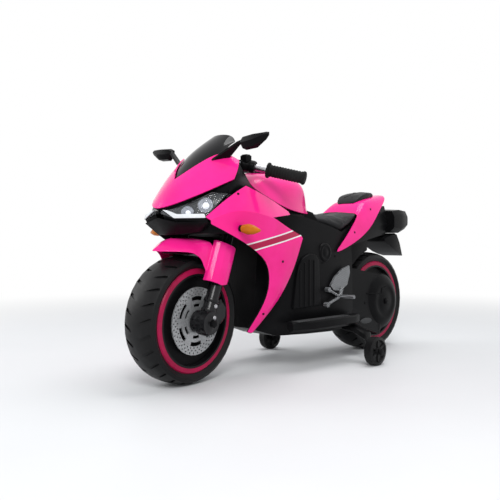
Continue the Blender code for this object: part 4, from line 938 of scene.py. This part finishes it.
# %% Sew the edge beads
SEAM_POINTS, SEAM_OUT, SEAM_DROP = 25, 0.25, 0.012
for node, inset, lean in (("seat", 0.012, 0.9), ("pillion_pad", 0.01, 0.7)):
    low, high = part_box(node)
    routes = []
    for side, label in SIDES:
        route = []
        for i in range(SEAM_POINTS):
            y = low[1] + inset + (high[1] - low[1] - 2 * inset) * i / (SEAM_POINTS - 1)
            origin = (side * SEAM_OUT, y, high[2] - SEAM_DROP + SEAM_OUT * lean)
            point = touch(node, origin, (-side, 0, -lean))[0]
            if point:
                route.append(point)
        routes.append(route)
    seams = [bead(f"{node}_seam", route, 0.0013) for route in routes if len(route) > 2]
    if seams:
        dress(joined(seams, node + "_seams"), "seat_vinyl", body_of[node])
print("edges sewn")

# %% [markdown]
# ## Covers on the frame
# The sides of the frame carry mouldings: a ribbed engine cover with an arched top, a domed cover with a
# small step beside the rear wheel, and a round cap on the pivot. Each is an outline, a lathe profile or a
# bead laid on the surface that a ray finds, so it sits on the frame from every side.

# %% Engine covers, wheel covers and pivot caps
ENGINE_COVER = [(-0.108, 0.184), (-0.099, 0.242), (-0.091, 0.287), (-0.082, 0.316), (-0.062, 0.338),
                (-0.033, 0.35), (-0.003, 0.347), (0.013, 0.33), (0.016, 0.26), (0.022, 0.189),
                (-0.05, 0.186)]
WHEEL_COVER = [(0, 0.093), (0.03, 0.093), (0.034, 0.0916), (0.052, 0.0912), (0.056, 0.0926),
               (0.068, 0.0905), (0.082, 0.085), (0.091, 0.079), (0.097, 0.073), (0.098, 0.066), (0, 0.066)]
COVER_STEP = ((0.313, 0.2066), (0.35, 0.2045), (0.3864, 0.2024), (0.3903, 0.2222), (0.4181, 0.2253))
PIVOT_COVER = [(0, 0.0042), (0.01, 0.0042), (0.012, 0.003), (0.02, 0.003), (0.022, 0.0046),
               (0.027, 0.004), (0.0295, 0.0015), (0.03, -0.004), (0, -0.004)]
PIVOT = (0.0485, 0.3524)
RIB_FOOT, RIB_TOPS = 0.19, ((-0.08, 0.3), (-0.058, 0.322), (-0.036, 0.332), (-0.014, 0.33))
for side, label in SIDES:
    frame_skin = "frame_" + label
    inwards = (-side, 0, 0)
    outer = max(abs(touch(frame_skin, beside(side, y, z), inwards)[0].x) for y, z in ENGINE_COVER)
    cover = plate("engine_cover_" + label, [(side * (outer + 0.004), y, z) for y, z in ENGINE_COVER],
                  (-side * 0.016, 0, 0), 0.0035)
    black(cover)
    ribs = []
    rib_out = side * (outer + 0.0035)
    for y, top in RIB_TOPS:
        ribs.append(bead("rib", [(rib_out, y, RIB_FOOT), (rib_out, y, top)], 0.0036))
    black(joined(ribs, "engine_ribs_" + label))
    dome = turned("wheel_cover_" + label, WHEEL_COVER, REAR_CENTRE, (side, 0, 0), 64)
    black(dome)
    skins[dome.name] = dome
    route = []
    for y, z in COVER_STEP:
        found = [touch(node, beside(side, y, z), inwards)[0] for node in (dome.name, frame_skin)]
        route.append(max((point for point in found if point), key=lambda point: abs(point.x)))
    black(bead("cover_step_" + label, route, 0.0026))
    spot = touch(frame_skin, beside(side, *PIVOT), inwards)[0]
    black(turned("pivot_cover_" + label, PIVOT_COVER, spot, (side, 0, 0), 40))
print("frame covers made")

# %% [markdown]
# ## Saddle nose
# Between the tank and the saddle the black body rises to a blunt nose, which closes the opening under the
# tank. It is an outline seen from above, extruded up and lowered at the saddle end.

# %% Saddle nose
NOSE_PLAN = [(0.084, -0.13), (0.071, -0.06), (0.063, -0.02), (0.057, 0.0), (0.048, 0.014), (0.054, 0.048),
             (0.06, 0.075)]
NOSE_FOOT, NOSE_RISE = 0.44, 0.048
SADDLE_END, END_TOP, END_FALL = 0.048, 0.476, 0.8
outline = [(x, y, NOSE_FOOT) for x, y in NOSE_PLAN] + [(-x, y, NOSE_FOOT) for x, y in reversed(NOSE_PLAN)]
saddle_nose = plate("saddle_nose", outline, (0, 0, NOSE_RISE), 0)
for vertex in saddle_nose.data.vertices:
    if vertex.co.z > NOSE_FOOT + NOSE_RISE / 2 and vertex.co.y > SADDLE_END - 0.01:
        vertex.co.z = END_TOP - (vertex.co.y - SADDLE_END) * END_FALL
black(rounded(saddle_nose, 0.004))
print("saddle nose:", len(saddle_nose.data.polygons), "faces")

# %% [markdown]
# ## Screws and nuts
# Small fasteners make a toy look real. One screw is modelled: a short cylinder with a rounded rim and a
# recess pressed into its head. Its copies are set where a ray meets a panel, facing the way the panel
# faces. The axle nuts are six-sided, with a raised end.

# %% One screw and one nut


def fastener(name, sides, radius, depth, rim, push, shrink, bevel):
    """A short cylinder whose top is inset and pushed in or out. All sizes are shares of its radius."""
    made = start(bpy.ops.mesh.primitive_cylinder_add, name, vertices=sides, radius=radius,
                 depth=radius * depth)
    inset_face(made, UP, radius * rim, (0, 0, radius * push), shrink)
    return rounded(made, radius * bevel)


def screw_master(radius):
    return fastener("screw", 16, radius, 0.7, 0.35, -0.3, 0.8, 0.12)


def nut_master(radius):
    return fastener("nut", 6, radius, 0.8, 0.2, 0.2, 0.85, 0.08)


def placed_on(node, spots, way):
    """Places on a node's skin, where rays along a way meet it."""
    met = [touch(node, spot, way) for spot in spots]
    return [facing_place(point, facing) for point, facing in met if point]


print("fasteners ready")

# %% [markdown]
# The screws of a panel are listed by their place along the bike and their height. The nuts stand at the
# ends of the two axles; the front pair steers with the fork.

# %% Screws on the panels, nuts on the axles
SCREWS = (("side_fairing_{}", "fairing_screws_", 0.0036,
           ((-0.372, 0.512), (-0.15, 0.482), (-0.205, 0.33), (-0.228, 0.18))),
          ("frame_{}", "frame_screws_", 0.0042,
           ((0.035, 0.32), (0.035, 0.2), (0.11, 0.34), (0.3, 0.175), (0.41, 0.262), (0.485, 0.13))),
          ("tail_cowl", "tail_screws_", 0.0034, ((0.33, 0.5), (0.215, 0.418))))
AXLES = (("front", FRONT_CENTRE, WHEEL_AXIS, 0.1115, "front_end"),
         ("rear", REAR_CENTRE, Vector((1, 0, 0)), 0.0945, "chassis"))
NUT_RADIUS = 0.0105
count = 0
for side, label in SIDES:
    for pattern, name, radius, spots in SCREWS:
        node = pattern.format(label)
        places = placed_on(node, [beside(side, y, z) for y, z in spots], (-side, 0, 0))
        black(copies(screw_master(radius), places, name + label), body_of[node])
        count += len(places)
    for name, centre, axis, reach, body in AXLES:
        place = facing_place(centre + axis * side * reach, axis * side)
        black(copies(nut_master(NUT_RADIUS), [place], f"{name}_nut_{label}"), body)
print("screws:", count)

# %% [markdown]
# ## Fork legs
# Each leg is stepped: two moulded collars round the tube, and two bolts in the casting at the foot that
# holds the axle. The collars are lathe work along the steering axis, set in the frame of the parked fork.

# %% Collars and bolts on the fork
COLLAR = [(0.018, -0.005), (0.0208, -0.005), (0.0216, -0.003), (0.0216, 0.003), (0.0208, 0.005),
          (0.018, 0.005), (0.018, -0.005)]
LEG_OUT, LEG_ASIDE, BOLT_RADIUS = 0.083, 0.2, 0.0058
COLLARS_AT, BOLTS_AT = (0.0607, 0.033), (0.016, 0.047)
for side, label in SIDES:
    legs = [parked @ (Vector((side * LEG_OUT, 0, 0)) + STEER_AXIS * along) for along in COLLARS_AT]
    collars = [turned("collar", COLLAR, centre, STEER_AXIS, 36) for centre in legs]
    dress(joined(collars, "fork_collars_" + label), "fork_black", "front_end")
    outside = parked.to_3x3() @ Vector((side, 0, 0))
    starts = [parked @ (Vector((side * LEG_ASIDE, 0, 0)) + STEER_AXIS * along) for along in BOLTS_AT]
    bolts = placed_on("fork_leg_" + label, starts, -outside)
    dress(copies(nut_master(BOLT_RADIUS), bolts, "fork_bolts_" + label), "steel", "front_end")
print("fork legs dressed")

# %% [markdown]
# ## Step boards and training wheels
# The step boards have a grey tread of raised bars, left out round the pedal on the right. One bar is
# modelled and copied. A long low boss stands on each side of the frame, behind the training wheel.

# %% Treads on the step boards
moulded("tread_grey", (0.06, 0.061, 0.063), (0.09, 0.09, 0.092), 0.55, 600.0, 0.0003)
BAR_SIZE, BAR_OUT, BAR_LIFT = (0.03, 0.0052, 0.0024, 1), 0.1292, 0.0006
BARS = [-0.118 + 0.0105 * i for i in range(24)]
PEDAL_GAP = (-0.002, 0.086)
BOSS = [(0, 0.006), (0.006, 0.0058), (0.0095, 0.004), (0.0105, 0.001), (0.0105, -0.003), (0, -0.003)]
BOSS_SPOT, BOSS_SHAPE = (0.3, 0.114), (1, 3.2, 0.95, 1)
for side, label in SIDES:
    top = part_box("footboard_" + label)[1][2]
    kept = [y for y in BARS if side > 0 or not PEDAL_GAP[0] < y < PEDAL_GAP[1]]
    bar = start(bpy.ops.mesh.primitive_cube_add, "bar", size=1)
    bar.data.transform(Matrix.Diagonal(BAR_SIZE))
    rounded(bar, 0.0008)
    places = [Matrix.Translation((side * BAR_OUT, y, top + BAR_LIFT)) for y in kept]
    dress(copies(bar, places, "tread_bars_" + label), "tread_grey", "chassis")
    spot = touch("frame_" + label, beside(side, *BOSS_SPOT), (-side, 0, 0))[0]
    boss = turned("arm_boss_" + label, BOSS, (0, 0, 0), (side, 0, 0), 32)
    boss.data.transform(Matrix.Translation(spot) @ Matrix.Diagonal(BOSS_SHAPE))
    dress(boss, "tread_grey", "chassis")
    print("tread", label, len(places), "bars")

# %% [markdown]
# Each training wheel has its spokes on both faces. A small cap closes the end of its axle, which stands
# still with the chassis.

# %% Spokes of the training wheels
TRAINER_HUB, SPOKES, SPOKE_OUT, CAP_OUT = (0.226, 0.148, 0.0445), 6, 0.0105, 0.0225
SPOKE = [(0, -0.005, 0.0105), (0, -0.0036, 0.0345), (0, 0.0036, 0.0345), (0, 0.005, 0.0105)]
SPOKE_THICK = 0.004
HUB_CAP = [(0, 0.003), (0.006, 0.0028), (0.0098, 0.0018), (0.011, -0.002), (0, -0.002)]
for side, label in SIDES:
    hub = flip(TRAINER_HUB, side)
    places = []
    for face in (-1, 1):
        for i in range(SPOKES):
            turn = Matrix.Rotation(2 * math.pi * i / SPOKES, 4, "X")
            places.append(Matrix.Translation(hub + Vector((face * SPOKE_OUT, 0, 0))) @ turn)
    spoke = plate("spoke", SPOKE, (SPOKE_THICK, 0, 0), 0.0008)
    spoke.data.transform(Matrix.Translation((-SPOKE_THICK / 2, 0, 0)))
    dress(copies(spoke, places, "spokes_" + label), "tyre_black", "training_wheel_" + label)
    black(turned("hub_cap_" + label, HUB_CAP, hub + Vector((side * CAP_OUT, 0, 0)), (side, 0, 0), 28))
print("spokes and caps made")

# %% [markdown]
# ## Tail
# A red lens closes the end of the tail lamp. It is an outline with a soft bevel, and its ribs are in its
# material. A black inner guard fills the gap between the frame and the tail, clear of the tyre.

# %% Tail lens and inner guard
GUARD_HALF = 0.048
INNER_GUARD = ((0.362, 0.356), (0.34, 0.348), (0.317, 0.337), (0.295, 0.323), (0.278, 0.3075),
               (0.222, 0.307), (0.222, 0.398), (0.362, 0.398))
LENS_END = 0.614
LENS = ((-0.048, 0.452), (0.048, 0.452), (0.05, 0.478), (0.04, 0.49), (-0.04, 0.49), (-0.05, 0.478))
tail_glass = plate("tail_glass", [(x, LENS_END, z) for x, z in LENS], (0, 0.004, 0), 0.0015)
dress(tail_glass, "tail_lens", "chassis")
guard = plate("inner_guard", [(-GUARD_HALF, y, z) for y, z in INNER_GUARD], (2 * GUARD_HALF, 0, 0), 0.002)
black(guard)
print("tail made")

# %% [markdown]
# ## Floor and light
# A plain pale floor, one large key light at the front left, a weaker fill on the other side and one
# above. The world is white to the camera and to reflections, and a soft grey as a light.

# %% Floor
FLOOR_FADE = (0.9, 3.2)


def watched(tree):
    """1 for rays that the camera, a reflection or a clear cover sends, 0 for rays that light."""
    path = tree.nodes.new("ShaderNodeLightPath").outputs
    return Wire(path["Is Camera Ray"]) + Wire(path["Is Glossy Ray"]) + Wire(path["Is Transmission Ray"]) > 0.5


floor = start(bpy.ops.mesh.primitive_plane_add, "studio_floor", size=30, location=(0, 0, -0.0005))
shader, place = finish("pale_floor", Specular_IOR_Level=0.2)
speckle = place.noise(3.0, 4.0)
connect(shader, Base_Color=speckle.mix((0.7, 0.71, 0.72), (0.74, 0.75, 0.76)), Roughness=speckle * 0.1 + 0.5)
tree = shader.id_data
x, y, _ = place.axes()
far = (x * x + y * y).root().step(*FLOOR_FADE)
white = tree.nodes.new("ShaderNodeEmission")
fade = tree.nodes.new("ShaderNodeMixShader")
tree.links.new((far * watched(tree)).socket, fade.inputs["Fac"])
tree.links.new(shader.outputs[0], fade.inputs[1])
tree.links.new(white.outputs[0], fade.inputs[2])
tree.links.new(fade.outputs[0], tree.nodes["Material Output"].inputs["Surface"])
floor.data.materials.append(finishes["pale_floor"])
print("floor laid")

# %% [markdown]
# The lights are discs, so their reflections on the gloss panels have soft round edges. All of them aim at
# the middle of the bike.

# %% Lights and world
MIDDLE = Vector((0, 0, 0.3))


def soft_light(name, location, size, power):
    lamp = start(bpy.ops.object.light_add, name, type="AREA", location=location)
    lamp.data.shape = "DISK"
    lamp.data.size = size
    lamp.data.energy = power
    lamp.rotation_euler = (MIDDLE - Vector(location)).to_track_quat("-Z", "Y").to_euler()


soft_light("key", (2.2, -2.4, 2.4), 1.6, 85)
soft_light("fill", (-2.4, -1.8, 1.6), 2.0, 30)
soft_light("top", (0.2, 0.6, 3.0), 2.0, 45)
world = bpy.data.worlds.new("studio")
bpy.context.scene.world = world
world.use_nodes = True
background = world.node_tree.nodes["Background"]
bright = watched(world.node_tree).mix((0.42, 0.43, 0.45), (1, 1, 1))
world.node_tree.links.new(bright.socket, background.inputs["Color"])
bpy.context.scene.view_settings.view_transform = "Standard"
print("studio ready")
